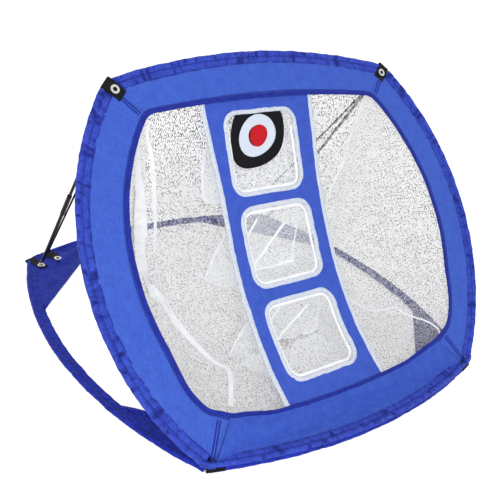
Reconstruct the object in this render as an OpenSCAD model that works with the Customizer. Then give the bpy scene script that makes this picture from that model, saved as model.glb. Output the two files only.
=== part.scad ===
// Pop-up golf chipping net: a leaning front hoop and a flat base hoop of spring wire in
// fabric sleeves, sewn together along the front edge, with a net bag behind the front.
// X runs across, Y runs back, Z is up. The origin is on the ground under the middle.

/* [Front hoop] */
// Distance between the two corners of a hoop, along the hinge line
corner_w = 530; // [480:1:580]
// Height of the front hoop from the hinge line to its top corners, along its plane
panel_h = 523; // [470:1:570]
// Lean of the front hoop above the ground, in degrees
lean = 50.6; // [47:0.1:54]
// How far the sides of the front hoop bow out past their corners
side_bow = 95; // [80:1:105]
// How far the top of the front hoop bows up past its corners
top_bow = 34; // [26:1:42]

/* [Base hoop] */
// Depth of the base hoop from the hinge line to its back corners
base_d = 590; // [550:1:630]
// How far the front edge of both hoops bows forward
front_bow = 43; // [36:1:50]
// How far the sides of the base hoop bow out
base_bow = 68; // [56:1:80]
// How far the back of the base hoop bows out
back_bow = 48; // [38:1:58]
// Leg of a corner gusset, from the hoop's corner to its slanting edge
gusset_leg = 120; // [105:1:135]

/* [Wire and sleeve] */
// Diameter of the spring wire
wire_d = 3.2; // [2.6:0.1:3.6]
// Wall of the fabric sleeve round the wire
sleeve_wall = 1.4; // [1.2:0.1:1.8]
// Width of the flat sleeve band inside the wire
band_w = 13; // [10:0.5:16]
// Thickness of the sleeve band
band_t = 1.2; // [1:0.1:1.6]

/* [Front fabric] */
// Thickness of the border, gusset and strip fabric
cloth_t = 1; // [0.8:0.1:1.2]
// Width of the border from the wire to the window edge
border_w = 67; // [58:1:76]
// Height of the bottom border above the hinge line
bottom_border = 38; // [34:1:44]
// Radius of the window corners
window_r = 32; // [24:1:40]
// Width of the middle strip
strip_w = 196; // [184:1:204]
// Distance of the middle strip's centre line from the middle
strip_x = -13; // [-18:1:-8]
// How far the middle strip sags behind the hoop
strip_sag = 44; // [36:1:46]

/* [Target holes] */
// Width of a hole in the strip
hole_w = 129; // [120:1:136]
// Height of a hole, along the hoop's plane
hole_h = 117; // [110:1:118]
// Radius of a hole's corners
hole_r = 20; // [16:1:24]
// Height of the lowest hole's middle
hole_low = 120; // [118:1:122]
// Height of the middle hole's middle
hole_mid = 266; // [264:1:268]
// Height of the top hole's middle
hole_top = 408; // [406:1:410]
// Width of the white binding on the strip and the holes
binding_w = 7; // [5:0.5:8]
// Thickness of the folded binding
binding_t = 3; // [2.4:0.1:3.4]

/* [Target patch] */
// Diameter of the black target patch
patch_d = 102; // [94:1:108]
// Outside diameter of the white ring
white_d = 70; // [60:1:76]
// Diameter of the red spot
spot_d = 33; // [26:1:40]
// Distance from the patch's sewn edge down to the middle of its rings
patch_drop = 34; // [31:1:37]

/* [Tabs and eyelets] */
// Width of the webbing
webbing_w = 20; // [16:1:24]
// Thickness of the webbing
webbing_t = 0.9; // [0.7:0.1:1]
// Length of a top tab inwards from the wire
top_tab_len = 28; // [26:1:32]
// Length of a base tab inwards from the wire
base_tab_len = 41; // [39:1:44]
// Distance from the wire to the middle of a top eyelet
top_eye_in = 14.5; // [14:0.5:15]
// Distance from the wire to the middle of a base eyelet
base_eye_in = 30; // [29:0.5:31]
// Bore of an eyelet
eyelet_bore_d = 6.4; // [5.8:0.1:6.6]
// Outside diameter of an eyelet's flange
eyelet_d = 13; // [12:0.5:14]
// Distance of the spare eyelet from the base corner, across
spare_in = 38; // [36:1:50]

/* [Rods and cords] */
// Diameter of the lower section of a support rod
rod_d = 6; // [5:0.1:6.4]
// Diameter of the upper section of a support rod
rod_top_d = 5; // [4:0.1:5.4]
// Wall of the ferrule that joins the sections
ferrule_wall = 0.9; // [0.7:0.1:1.2]
// Length of the ferrule
ferrule_len = 52; // [40:1:60]
// Length of a metal rod tip
tip_len = 16; // [12:1:20]
// Diameter of a rod's ball end
ball_d = 8; // [7.6:0.1:8.4]
// Diameter of the elastic cord beside each rod
cord_d = 3.4; // [2.6:0.1:4]

/* [Hidden] */
$fn = 144;

// Clearances
fit_gap = 0.3;
seam_gap = 0.3;
hinge_gap = 1.5;
foot_cut = 0.3;

// Wire and sleeve
wire_r = wire_d / 2;
sleeve_r = wire_r + fit_gap + sleeve_wall;
cloth_in = sleeve_r + band_w + seam_gap;
base_z = sleeve_r - foot_cut;
hinge_z = base_z + 2 * sleeve_r + 0.2;
half_w = corner_w / 2;
corner_cut = 0.95 * webbing_w;
bead_r = wire_r + 0.3;
pin_len = 18;
pin_gap = 0.08;

// A circular arc over a chord: its radius from half the chord and the bow
function arc_r(half_chord, bow) = (half_chord * half_chord + bow * bow) / (2 * bow);
function arc_half_angle(half_chord, bow) = asin(half_chord / arc_r(half_chord, bow));
front_r = arc_r(half_w, front_bow);
back_r = arc_r(half_w, back_bow);
base_side_r = arc_r(base_d / 2, base_bow);
side_r = arc_r(panel_h / 2, side_bow);
top_r = arc_r(half_w, top_bow);
side_cx = half_w + side_bow - side_r;
top_cy = panel_h + top_bow - top_r;

// The model's middle, front to back, is the origin
front_y = -front_bow - sleeve_r;
back_y = base_d + back_bow + sleeve_r;
shift_y = -(front_y + back_y) / 2;

module in_place() {
    translate([0, shift_y, 0]) children();
}

// Panel coordinates: x across, y up the hoop's plane from the hinge line, z in front of it
module on_panel() {
    in_place() translate([0, 0, hinge_z]) rotate([lean, 0, 0]) children();
}

// A point given across (u), up the panel (v) and behind it (n), as a point of the object
function panel_point(u, v, n) = [
    u,
    shift_y + v * cos(lean) + n * sin(lean),
    hinge_z + v * sin(lean) - n * cos(lean)
];

// How far the front fabric sags behind the hoop, at its middle and anywhere
sag_skew = -0.38;
sag_from = 14;
sag_to = panel_h - 29;
sag_edge = 230;
strip_half = strip_w / 2;
function sag_at(v) =
    let (t = min(1, max(0, (v - sag_from) / (sag_to - sag_from))))
    strip_sag * 4 * t * (1 - t) * (1 + sag_skew * (2 * t - 1));
function fade(x) = x * x * (3 - 2 * x);
function sag_share(u) =
    let (side = abs(u - strip_x))
    1 - fade(min(1, max(0, (side - strip_half) / (sag_edge - strip_half))));
function sag(u, v) = sag_at(v) * sag_share(u);

function unit(p) = p / norm(p);
function circle_point(c, r, a) = c + r * [cos(a), sin(a)];
function arc_points(c, r, a0, a1, n) = [for (i = [0 : n]) circle_point(c, r, a0 + (a1 - a0) * i / n)];
function heading(p) = atan2(p[1], p[0]);

// The crossing of two circles that lies on the left of the line between their centres
function crossing(c1, r1, c2, r2) =
    let (d = norm(c2 - c1), e = (c2 - c1) / d, a = (d * d + r1 * r1 - r2 * r2) / (2 * d))
    c1 + e * a + [-e[1], e[0]] * sqrt(r1 * r1 - a * a);

// ---- Hoops: wire and sleeves -------------------------------------------------------

// Cross-section of a sleeve: a tube for the wire and a flat band towards the hoop's inside
module sleeve_section(r, inside) {
    difference() {
        union() {
            translate([r, 0]) circle(sleeve_r);
            translate([r + (inside < 0 ? -band_w - sleeve_r : 0), -band_t / 2])
                square([band_w + sleeve_r, band_t]);
        }
        translate([r, 0]) circle(wire_r + fit_gap);
    }
}

// An arc of wire or sleeve in the XY plane about a centre, from one angle to another
module arc_wire(c, r, a0, a1) {
    translate([c[0], c[1], 0]) rotate([0, 0, a0])
        rotate_extrude(angle = a1 - a0) translate([r, 0]) circle(wire_r);
}
module arc_sleeve(c, r, a0, a1) {
    translate([c[0], c[1], 0]) rotate([0, 0, a0])
        rotate_extrude(angle = a1 - a0) sleeve_section(r, -1);
}

// Angle that a length takes on a radius
function arc_turn(length, r) = length / r * 180 / PI;

front_a = arc_half_angle(half_w, front_bow);
back_a = arc_half_angle(half_w, back_bow);
base_side_a = arc_half_angle(base_d / 2, base_bow);
side_a = arc_half_angle(panel_h / 2, side_bow);
top_a = arc_half_angle(half_w, top_bow);
front_c = [0, front_r - front_bow];
back_c = [0, base_d + back_bow - back_r];
base_side_c = [half_w + base_bow - base_side_r, base_d / 2];
side_c = [side_cx, panel_h / 2];
top_c = [0, top_cy];

// A weld bead where two runs of wire meet at a corner
module bead(x, y) {
    translate([x, y, 0]) sphere(bead_r);
}

// Rear hoop wire: one closed loop lying on the ground
module base_hoop_wire() {
    color("silver") in_place() translate([0, 0, base_z]) {
        arc_wire(front_c, front_r, 270 - front_a, 270 + front_a);
        arc_wire(back_c, back_r, 90 - back_a, 90 + back_a);
        for (s = [0, 1]) mirror([s, 0, 0]) {
            arc_wire(base_side_c, base_side_r, -base_side_a, base_side_a);
            bead(half_w, 0);
            bead(half_w, base_d);
        }
    }
}

// Keeps what stands on the ground, so that each base sleeve has a flat foot
module above_ground() {
    difference() {
        children();
        translate([-2 * corner_w, -2 * base_d, -base_z - 5]) cube([4 * corner_w, 5 * base_d, 5]);
    }
}

// A sleeve is cut back from each corner, where the webbing goes round the wire
module base_sleeve_side(s) {
    trim = arc_turn(corner_cut, base_side_r);
    color("#2a38b4") in_place() translate([0, 0, base_z]) above_ground() mirror([s, 0, 0]) difference() {
        arc_sleeve(base_side_c, base_side_r, -base_side_a + trim, base_side_a - trim);
        translate([base_eye[0], base_eye[1], 0]) barrel_hole();
    }
}
// The back sleeve is open where the spare tabs go round the wire
module base_sleeve_back() {
    trim = arc_turn(corner_cut, back_r);
    color("#2a38b4") in_place() translate([0, 0, base_z]) above_ground() difference() {
        arc_sleeve(back_c, back_r, 90 - back_a + trim, 90 + back_a - trim);
        for (s = [0, 1]) mirror([s, 0, 0]) at_spare_wire()
            translate([-2 * sleeve_r, -webbing_w / 2 - 0.4, -2 * sleeve_r])
                cube([3 * sleeve_r + 0.4, webbing_w + 0.8, 4 * sleeve_r]);
    }
}
module base_sleeve_front() {
    trim = arc_turn(corner_cut, front_r);
    color("#2a38b4") in_place() translate([0, 0, base_z]) above_ground()
        arc_sleeve(front_c, front_r, 270 - front_a + trim, 270 + front_a - trim);
}

// Front run of the leaning hoop, sewn on top of the base's front run
front_edge_cut = corner_cut + 14;
module front_edge_wire() {
    gap = arc_turn(front_edge_cut, front_r);
    color("silver") in_place() translate([0, 0, hinge_z])
        arc_wire(front_c, front_r, 270 - front_a + gap, 270 + front_a - gap);
}
module front_edge_sleeve() {
    trim = arc_turn(front_edge_cut, front_r);
    color("#2a38b4") in_place() translate([0, 0, hinge_z]) difference() {
        arc_sleeve(front_c, front_r, 270 - front_a + trim, 270 + front_a - trim);
        translate([-half_w, -hinge_gap, -2 * sleeve_r]) cube([corner_w, 4 * band_w, 4 * sleeve_r]);
    }
}

// Leaning hoop wire: sides and top; its lower ends turn inwards to lie on the hinge line.
// The side runs stop a little short of the top corners, inside the weld beads.
weld_gap = 1.4;
module panel_hoop_wire() {
    gap = arc_turn(weld_gap, side_r);
    color("silver") on_panel() {
        arc_wire(top_c, top_r, 90 - top_a, 90 + top_a);
        for (s = [0, 1]) mirror([s, 0, 0]) {
            arc_wire(side_c, side_r, -side_a, side_a - gap);
            bead(half_w, panel_h);
            bead(half_w, 0);
            translate([half_w - pin_len, 0, 0]) rotate([0, 90, 0]) cylinder(h = pin_len, r = wire_r);
        }
    }
}
module panel_sleeve_side(s) {
    top_trim = arc_turn(corner_cut, side_r);
    low_trim = arc_turn(2 * sleeve_r + hinge_gap, side_r);
    color("#2a38b4") on_panel() mirror([s, 0, 0])
        arc_sleeve(side_c, side_r, -side_a + low_trim, side_a - top_trim);
}
module panel_sleeve_top() {
    trim = arc_turn(corner_cut, top_r);
    color("#2a38b4") on_panel() arc_sleeve(top_c, top_r, 90 - top_a + trim, 90 + top_a - trim);
}

// ---- Base fabric -------------------------------------------------------------------

// Region inside the base hoop, a distance in from its wire
module base_inside(d) {
    intersection() {
        translate(front_c) circle(front_r - d);
        translate(back_c) circle(back_r - d);
        translate(base_side_c) circle(base_side_r - d);
        mirror([1, 0]) translate(base_side_c) circle(base_side_r - d);
    }
}

// Corner gusset: a fabric triangle with a slanting inner edge, under the tabs at the back
module gusset(s, back) {
    y = back ? base_d : 0;
    dir = back ? -1 : 1;
    reach = base_bow + back_bow;
    color("#2838a5") in_place() translate([0, 0, base_z]) mirror([s, 0, 0]) difference() {
        translate([0, 0, -cloth_t / 2]) linear_extrude(cloth_t) intersection() {
            base_inside(cloth_in);
            polygon([
                [half_w - gusset_leg - reach, y - dir * reach],
                [half_w + reach, y - dir * reach],
                [half_w + reach, y + dir * (gusset_leg + reach)]
            ]);
        }
        if (back) {
            translate([base_eye[0], base_eye[1], 0]) barrel_hole();
            translate([spare_eye[0], spare_eye[1], 0]) barrel_hole();
        }
    }
}

// Bottom border ahead of the hinge line, sewn to the front edge sleeve
apron_half = 0.7 * half_w;
module front_apron() {
    color("#3a54ba") in_place() translate([0, 0, hinge_z - cloth_t / 2]) linear_extrude(cloth_t)
        intersection() {
            translate(front_c) circle(front_r - cloth_in);
            translate([-apron_half, -front_bow]) square([2 * apron_half, front_bow - hinge_gap]);
        }
}

// ---- Webbing tabs and eyelets ------------------------------------------------------

eyelet_r = eyelet_bore_d / 2;
barrel_r = eyelet_r + 0.6;
flange_t = 0.6;
loop_r = wire_r + 0.4 + webbing_t;
tab_end_half = cloth_t / 2 + 0.1 + webbing_t;
function tab_half(x, len) = loop_r + (tab_end_half - loop_r) * x / len;
function eyelet_half(eye, len) = tab_half(eye - eyelet_d / 2, len) + 0.05 + flange_t;
base_eyelet_half = eyelet_half(base_eye_in, base_tab_len);
top_eyelet_half = eyelet_half(top_eye_in, top_tab_len);

// Hole for an eyelet's barrel
module barrel_hole() {
    cylinder(h = 4 * loop_r, r = barrel_r + 0.1, center = true);
}

// Outline of a tab seen from its edge: round the wire, closing on the fabric
function tab_outline(r, end_half, len) = concat(
    arc_points([0, 0], r, 90, 270, 16),
    [[len, -end_half], [len, end_half]]
);

// A webbing tab round a wire that runs along Y at the origin; it points along +X
module tab(length, eye) {
    color("#141416") difference() {
        rotate([90, 0, 0]) linear_extrude(webbing_w, center = true) difference() {
            polygon(tab_outline(loop_r, tab_end_half, length));
            polygon(tab_outline(loop_r - webbing_t, tab_end_half - webbing_t, length + 1));
        }
        translate([eye, 0, 0]) barrel_hole();
    }
}

// An eyelet: a barrel with a rolled flange each side of the tab
module eyelet(half) {
    color("silver") rotate_extrude() {
        translate([eyelet_r, -half]) square([barrel_r - eyelet_r, 2 * half]);
        for (s = [-1, 1]) translate([eyelet_r, s * (half - flange_t / 2) - flange_t / 2])
            square([eyelet_d / 2 - eyelet_r, flange_t]);
    }
}

// Top tabs halve the panel's corners
top_eye = [half_w - top_eye_in * cos(45), panel_h - top_eye_in * sin(45)];
module top_corner(s) {
    on_panel() mirror([s, 0, 0]) translate([half_w, panel_h, 0]) rotate([0, 0, -135]) children();
}
// Base tabs point so that their eyelets stand straight behind the top eyelets
base_tab_heading = -90 - asin(top_eye_in * cos(45) / base_eye_in);
base_eye = [half_w, base_d] + base_eye_in * [cos(base_tab_heading), sin(base_tab_heading)];
module base_corner(s) {
    in_place() mirror([s, 0, 0]) translate([half_w, base_d, base_z])
        rotate([0, 0, base_tab_heading]) children();
}
// Spare tabs point inwards from the back wire
spare_turn = asin((half_w - spare_in) / back_r);
spare_wire = circle_point(back_c, back_r, 90 - spare_turn);
spare_eye = circle_point(back_c, back_r - base_eye_in, 90 - spare_turn);
module at_spare_wire() {
    translate([spare_wire[0], spare_wire[1], 0]) rotate([0, 0, -90 - spare_turn]) children();
}
module spare_place(s) {
    in_place() translate([0, 0, base_z]) mirror([s, 0, 0]) at_spare_wire() children();
}

// ---- Front fabric ------------------------------------------------------------------

// Window outline: arcs a border's width inside the wire, with rounded corners
win_side_r = side_r - border_w;
win_top_r = 1.8 * top_r;
win_top_c = [0, panel_h + top_bow - border_w - win_top_r];
top_fillet = crossing(side_c, win_side_r - window_r, win_top_c, win_top_r - window_r);
low_fillet_dy = bottom_border + window_r - side_c[1];
low_fillet = side_c + [sqrt(pow(win_side_r - window_r, 2) - pow(low_fillet_dy, 2)), low_fillet_dy];
side_top_a = heading(top_fillet - side_c);
side_low_a = heading(low_fillet - side_c);
top_end_a = heading(top_fillet - win_top_c);
top_mid_a = (side_top_a + top_end_a) / 2;
low_mid_a = (side_low_a - 90) / 2;

// Right window edge upwards, with half of each rounded corner
function edge_right(n, m) = concat(
    arc_points(low_fillet, window_r, low_mid_a, side_low_a, m),
    [for (i = [1 : n]) circle_point(side_c, win_side_r, side_low_a + (side_top_a - side_low_a) * i / n)],
    [for (i = [1 : m]) circle_point(top_fillet, window_r, side_top_a + (top_mid_a - side_top_a) * i / m)]
);
function edge_top(n, m) = concat(
    arc_points(top_fillet, window_r, top_mid_a, top_end_a, m),
    [for (i = [1 : n]) circle_point(win_top_c, win_top_r, top_end_a + (180 - 2 * top_end_a) * i / n)],
    [for (i = [1 : m]) circle_point([-top_fillet[0], top_fillet[1]], window_r,
        180 - top_end_a + (top_end_a - top_mid_a) * i / m)]
);
function edge_bottom(n, m) = concat(
    [for (i = [0 : m]) circle_point([-low_fillet[0], low_fillet[1]], window_r,
        180 - low_mid_a + (90 + low_mid_a) * i / m)],
    [for (i = [1 : n]) [low_fillet[0] * (2 * i / n - 1), bottom_border]],
    [for (i = [1 : m]) circle_point(low_fillet, window_r, -90 + (90 + low_mid_a) * i / m)]
);

// Outer edges of the border cloth, from mitre to mitre
cloth_top_corner = crossing(side_c, side_r - cloth_in, top_c, top_r - cloth_in);
cloth_low_dy = hinge_gap + seam_gap - side_c[1];
cloth_low_corner = side_c + [sqrt(pow(side_r - cloth_in, 2) - pow(cloth_low_dy, 2)), cloth_low_dy];
function outer_right(n) = arc_points(side_c, side_r - cloth_in,
    heading(cloth_low_corner - side_c), heading(cloth_top_corner - side_c), n);
function outer_top(n) = arc_points(top_c, top_r - cloth_in,
    heading(cloth_top_corner - top_c), 180 - heading(cloth_top_corner - top_c), n);
function outer_bottom(n) = [for (i = [0 : n]) [cloth_low_corner[0] * (2 * i / n - 1), cloth_low_corner[1]]];

// A closed sheet between two grids of points, rows by columns, front and back
module thick_sheet(front, back) {
    rows = len(front);
    cols = len(front[0]);
    k = rows * cols;
    points = [for (layer = [front, back]) for (row = layer) for (p = row) p];
    function id(layer, i, j) = layer * k + i * cols + j;
    function quad(a, b, c, d) = [[a, b, c], [a, c, d]];
    faces = concat(
        [for (i = [0 : rows - 2]) for (j = [0 : cols - 2])
            each quad(id(0, i, j), id(0, i, j + 1), id(0, i + 1, j + 1), id(0, i + 1, j))],
        [for (i = [0 : rows - 2]) for (j = [0 : cols - 2])
            each quad(id(1, i, j), id(1, i + 1, j), id(1, i + 1, j + 1), id(1, i, j + 1))],
        [for (i = [0 : rows - 2]) each concat(
            quad(id(0, i, 0), id(0, i + 1, 0), id(1, i + 1, 0), id(1, i, 0)),
            quad(id(0, i, cols - 1), id(1, i, cols - 1), id(1, i + 1, cols - 1), id(0, i + 1, cols - 1)))],
        [for (j = [0 : cols - 2]) each concat(
            quad(id(0, 0, j), id(1, 0, j), id(1, 0, j + 1), id(0, 0, j + 1)),
            quad(id(0, rows - 1, j), id(0, rows - 1, j + 1), id(1, rows - 1, j + 1), id(1, rows - 1, j)))]
    );
    polyhedron(points, faces);
}

// Border cloth between an outer and an inner edge, sagging with the strip
border_steps = 4;
module border_cloth(outer, inner, side) {
    function grid(offset) = [for (i = [0 : len(outer) - 1]) [for (j = [0 : border_steps])
        let (p = outer[i] + (inner[i] - outer[i]) * j / border_steps)
        [p[0], p[1], offset - sag(side * p[0], p[1])]]];
    thick_sheet(grid(cloth_t / 2), grid(-cloth_t / 2));
}
side_steps = 20;
corner_steps = 3;
module border_side(s) {
    color("#4668cf") on_panel() mirror([s, 0, 0])
        border_cloth(outer_right(side_steps + 2 * corner_steps), edge_right(side_steps, corner_steps),
            s == 1 ? -1 : 1);
}
module border_top() {
    color("#4668cf") on_panel()
        border_cloth(outer_top(side_steps + 2 * corner_steps), edge_top(side_steps, corner_steps), 1);
}
module border_bottom() {
    color("#3a54ba") on_panel()
        border_cloth(outer_bottom(side_steps + 2 * corner_steps), edge_bottom(side_steps, corner_steps), 1);
}

// Edge-on outline of the strip: a band that follows the sag, behind the border cloth
strip_steps = 30;
strip_low = hinge_gap + 4;
strip_high = panel_h + top_bow - cloth_in - 10;
strip_back = cloth_t / 2 + fit_gap + binding_t / 2;
function strip_v(i) = strip_low + (strip_high - strip_low) * i / strip_steps;
function band_outline(t) = concat(
    [for (i = [0 : strip_steps]) [strip_v(i), sag_at(strip_v(i)) + strip_back - t / 2]],
    [for (i = [strip_steps : -1 : 0]) [strip_v(i), sag_at(strip_v(i)) + strip_back + t / 2]]
);
// The band between two places across the panel
module band(t, u0, u1) {
    translate([u0, 0, 0]) rotate([0, 90, 0]) linear_extrude(u1 - u0)
        polygon([for (p = band_outline(t)) [p[1], p[0]]]);
}
module round_window(w, h, r) {
    square([w - 2 * r, h], center = true);
    square([w, h - 2 * r], center = true);
    for (x = [-1, 1]) for (y = [-1, 1]) translate([x * (w / 2 - r), y * (h / 2 - r)]) circle(r);
}
// A hole's outline through the whole depth of the strip, grown by a margin
module hole_shape(v, grow) {
    translate([strip_x, v, -2 * strip_sag]) linear_extrude(3 * strip_sag)
        round_window(hole_w + 2 * grow, hole_h + 2 * grow, hole_r + grow);
}

// Middle strip with three holes
module centre_strip() {
    color("#3f5cc4") on_panel() difference() {
        band(cloth_t, strip_x - strip_half, strip_x + strip_half);
        for (v = [hole_low, hole_mid, hole_top]) hole_shape(v, 0);
    }
}
// Folded tape over a long edge of the strip
tape_slot = cloth_t + 0.2;
module strip_binding(s) {
    edge = strip_half + 1;
    color("#dde6f8") on_panel() translate([strip_x, 0, 0]) mirror([s, 0, 0]) difference() {
        band(binding_t, edge - binding_w, edge);
        band(tape_slot, edge - binding_w - 1, edge - 0.8);
    }
}
// Folded tape round a hole's edge
module hole_binding(v) {
    color("#dde6f8") on_panel() difference() {
        intersection() {
            band(binding_t, strip_x - strip_half + binding_w, strip_x + strip_half - binding_w);
            difference() {
                hole_shape(v, binding_w - 1);
                hole_shape(v, -1);
            }
        }
        difference() {
            band(tape_slot, strip_x - strip_half, strip_x + strip_half);
            hole_shape(v, -0.2);
        }
    }
}

// ---- Net bag and pockets -----------------------------------------------------------

net_t = 1;
// Cubic curve through the side view of a bag, from its top edge to its bottom edge
function bezier(p, t) =
    pow(1 - t, 3) * p[0] + 3 * t * pow(1 - t, 2) * p[1] + 3 * t * t * (1 - t) * p[2] + pow(t, 3) * p[3];

// A place up the panel (v) and behind it (n) seen from the side as [back, up], and back again
function from_side(p) = [p[0] * cos(lean) + p[1] * sin(lean), p[0] * sin(lean) - p[1] * cos(lean)];
function to_side(v, n) = [v * cos(lean) + n * sin(lean), v * sin(lean) - n * cos(lean)];

// One row of a bag from the left rim over the back to the right rim, as [u, v, n]
wall_steps = 3;
back_steps = 6;
function bag_wall(rim, back, half, w) = [
    rim[0] + (half - rim[0]) * w,
    rim[1] + (back[0] - rim[1]) * w,
    rim[2] + (back[1] - rim[2]) * sin(90 * w)
];
function turned(p) = [-p[0], p[1], p[2]];
function bag_row(rim, back, half, rise, t) = concat(
    [for (j = [0 : wall_steps - 1]) turned(bag_wall(rim, back, half, j / wall_steps))],
    [for (j = [0 : back_steps]) let (k = 2 * j / back_steps - 1)
        [half * k, back[0] + rise * (1 - k * k) * pow(1 - t, 2), back[1]]],
    [for (j = [wall_steps - 1 : -1 : 0]) bag_wall(rim, back, half, j / wall_steps)]
);

// Outward direction of a grid of points at one of them
function grid_normal(g, i, j) =
    let (n = len(g) - 1, m = len(g[0]) - 1)
    unit(cross(g[max(0, i - 1)][j] - g[min(n, i + 1)][j], g[i][min(m, j + 1)] - g[i][max(0, j - 1)]));

// A bag: a sheet of net through rows of points, moved across by a distance
module bag(rim, side, halves, rise, across) {
    n = len(rim) - 1;
    inner = [for (i = [0 : n]) [for (p = bag_row(rim[i], bezier(side, i / n), halves[i], rise, i / n))
        [p[0] + across, p[1], -p[2]]]];
    outer = [for (i = [0 : n]) [for (j = [0 : len(inner[0]) - 1])
        inner[i][j] + net_t * grid_normal(inner, i, j)]];
    thick_sheet(outer, inner);
}

// The big net bag hangs from the window's top edge and comes back to its bottom edge
bag_lap = 8;
bag_rows = side_steps + 2 * corner_steps;
bag_rim_n = strip_back + binding_t / 2 + seam_gap + net_t;
bag_edge = edge_right(side_steps, corner_steps);
function lapped(p) = p + bag_lap * unit([p[0], p[1] - panel_h / 2]);
function deeper_sag(p) = max(sag(p[0], p[1]), sag(-p[0], p[1]));
bag_rim = [for (i = [bag_rows : -1 : 0]) let (p = lapped(bag_edge[i]))
    [p[0], p[1], cloth_t / 2 + seam_gap + 0.1 * net_t + deeper_sag(p)]];
bag_top = to_side(bag_rim[0][1], bag_rim_n + sag_at(bag_rim[0][1]));
bag_low = to_side(bag_rim[bag_rows][1], bag_rim_n + sag_at(bag_rim[bag_rows][1]));
bag_rise = win_top_c[1] + win_top_r + bag_lap - bag_rim[0][1];
bag_floor = -hinge_z - 16;
bag_side = [
    from_side(bag_top),
    from_side([bag_top[0] + 44, bag_floor]),
    from_side([bag_top[0] - 130, bag_floor]),
    from_side(bag_low)
];
bag_waist = 22;
bag_halves = [for (i = [0 : bag_rows]) bag_rim[0][0] - 14 - bag_waist * sin(180 * i / bag_rows)];
module net_bag() {
    color("whitesmoke") on_panel() bag(bag_rim, bag_side, bag_halves, bag_rise, 0);
}

// A small net pocket behind a hole, bulging down and back by given amounts
pocket_rows = 12;
module pocket(v, upper, lower) {
    hw = hole_w / 2 + 3;
    hh = hole_h / 2 + 3;
    rim_n = strip_back + binding_t / 2 + seam_gap + 0.35 * net_t;
    rim = [for (i = [0 : pocket_rows]) let (a = 180 * i / pocket_rows, y = v + hh * cos(a))
        [hw * (1 - 0.25 * pow(abs(cos(a)), 6)), y, rim_n + sag_at(y)]];
    top = to_side(rim[0][1], rim[0][2]);
    low = to_side(rim[pocket_rows][1], rim[pocket_rows][2]);
    side = [from_side(top), from_side(top + upper), from_side([top[0] + lower[0], low[1] + lower[1]]), from_side(low)];
    halves = [for (i = [0 : pocket_rows]) rim[i][0] - 9 + 30 * sin(180 * i / pocket_rows)];
    color("white") on_panel() bag(rim, side, halves, 0, strip_x);
}

// ---- Target patch ------------------------------------------------------------------

patch_tilt = 26;
patch_x = strip_x - 7;
patch_top = hole_top + hole_h / 2 + 1;
patch_t = 0.8;
print_t = 0.3;
patch_n = strip_back + binding_t / 2 + seam_gap + print_t + sag_at(patch_top);
// Patch coordinates: origin at the seam on the hole's top edge, hanging down along -Y
module on_patch() {
    on_panel() translate([patch_x, patch_top, -patch_n]) rotate([patch_tilt, 0, 0]) children();
}
// A disc that is cut off straight at the patch's sewn edge
module cut_disc(d) {
    intersection() {
        translate([0, -patch_drop]) circle(d = d);
        translate([-d, -2 * d]) square([2 * d, 2 * d]);
    }
}
module target_patch() {
    color("#16161a") on_patch() translate([0, 0, -patch_t]) linear_extrude(patch_t) cut_disc(patch_d);
}
module target_white_ring() {
    color("#e6ecfa") on_patch() linear_extrude(print_t) difference() {
        cut_disc(white_d);
        translate([0, -patch_drop]) circle(d = spot_d + 0.1);
    }
}
module target_red_spot() {
    color("#e0222c") on_patch() linear_extrude(print_t) translate([0, -patch_drop]) circle(d = spot_d);
}

// ---- Support rods and elastic cords ------------------------------------------------

// A rod stands on the base eyelet and stops short of the panel's eyelet
ball_r = ball_d / 2;
ball_seat = sqrt(ball_r * ball_r - eyelet_r * eyelet_r);
pivot = [base_eye[0], base_eye[1], base_z + base_eyelet_half + fit_gap + ball_seat];
rod_dy = top_eye[1] * cos(lean) - pivot[1];
rod_dz = hinge_z + top_eye[1] * sin(lean) - pivot[2];
rod_pitch = atan2(-rod_dy, rod_dz);
rod_full = norm([rod_dy, rod_dz]);
rod_clear = 7;
rod_len = rod_full - rod_clear;
rod_joint = 0.405 * rod_full;

// Rod coordinates: Z runs up the rod from the middle of its ball end
module on_rod(s) {
    in_place() mirror([s, 0, 0]) translate(pivot) rotate([rod_pitch, 0, 0]) children();
}
rod_fit = 0.05;
module rod_lower(s) {
    color("#1a1a1c") on_rod(s) translate([0, 0, tip_len]) cylinder(h = rod_joint - tip_len, d = rod_d);
}
module rod_upper(s) {
    color("#1a1a1c") on_rod(s) translate([0, 0, rod_joint + 0.2])
        cylinder(h = rod_len - tip_len - rod_joint - 0.2, d = rod_top_d);
}
module rod_ferrule(s) {
    half = ferrule_len / 2;
    color("#2a2a2e") on_rod(s) translate([0, 0, rod_joint]) difference() {
        translate([0, 0, -half]) cylinder(h = ferrule_len, d = rod_d + 2 * ferrule_wall);
        translate([0, 0, -half - 1]) cylinder(h = half + 1, d = rod_d + 2 * rod_fit);
        translate([0, 0, -0.5]) cylinder(h = half + 1, d = rod_top_d + 2 * rod_fit);
    }
}
// Metal end pieces: a ball foot below and a plain pin above
module rod_tips(s) {
    color("silver") on_rod(s) {
        sphere(d = ball_d);
        cylinder(h = tip_len, d = rod_d);
        translate([0, 0, rod_len - tip_len]) cylinder(h = tip_len, d = rod_top_d - 1);
    }
}

// Elastic cord from the inner end of the top tab to the spare tab of the base
cord_r = cord_d / 2;
cord_v = panel_h - (top_tab_len - 1) * sin(45);
cord_n = tab_end_half + seam_gap + 0.3 * cord_r;
cord_top = [half_w - (top_tab_len - 1) * cos(45), cord_v * cos(lean) + cord_n * sin(lean),
    hinge_z + cord_v * sin(lean) - cord_n * cos(lean)];
cord_low = [spare_wire[0], spare_wire[1] - 1, base_z + loop_r + seam_gap + 0.6 * cord_r];
module elastic_cord(s) {
    d = cord_top - cord_low;
    color("#141416") in_place() mirror([s, 0, 0]) translate(cord_low)
        rotate([0, acos(d[2] / norm(d)), atan2(d[1], d[0])]) cylinder(h = norm(d), r = cord_r);
}

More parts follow.
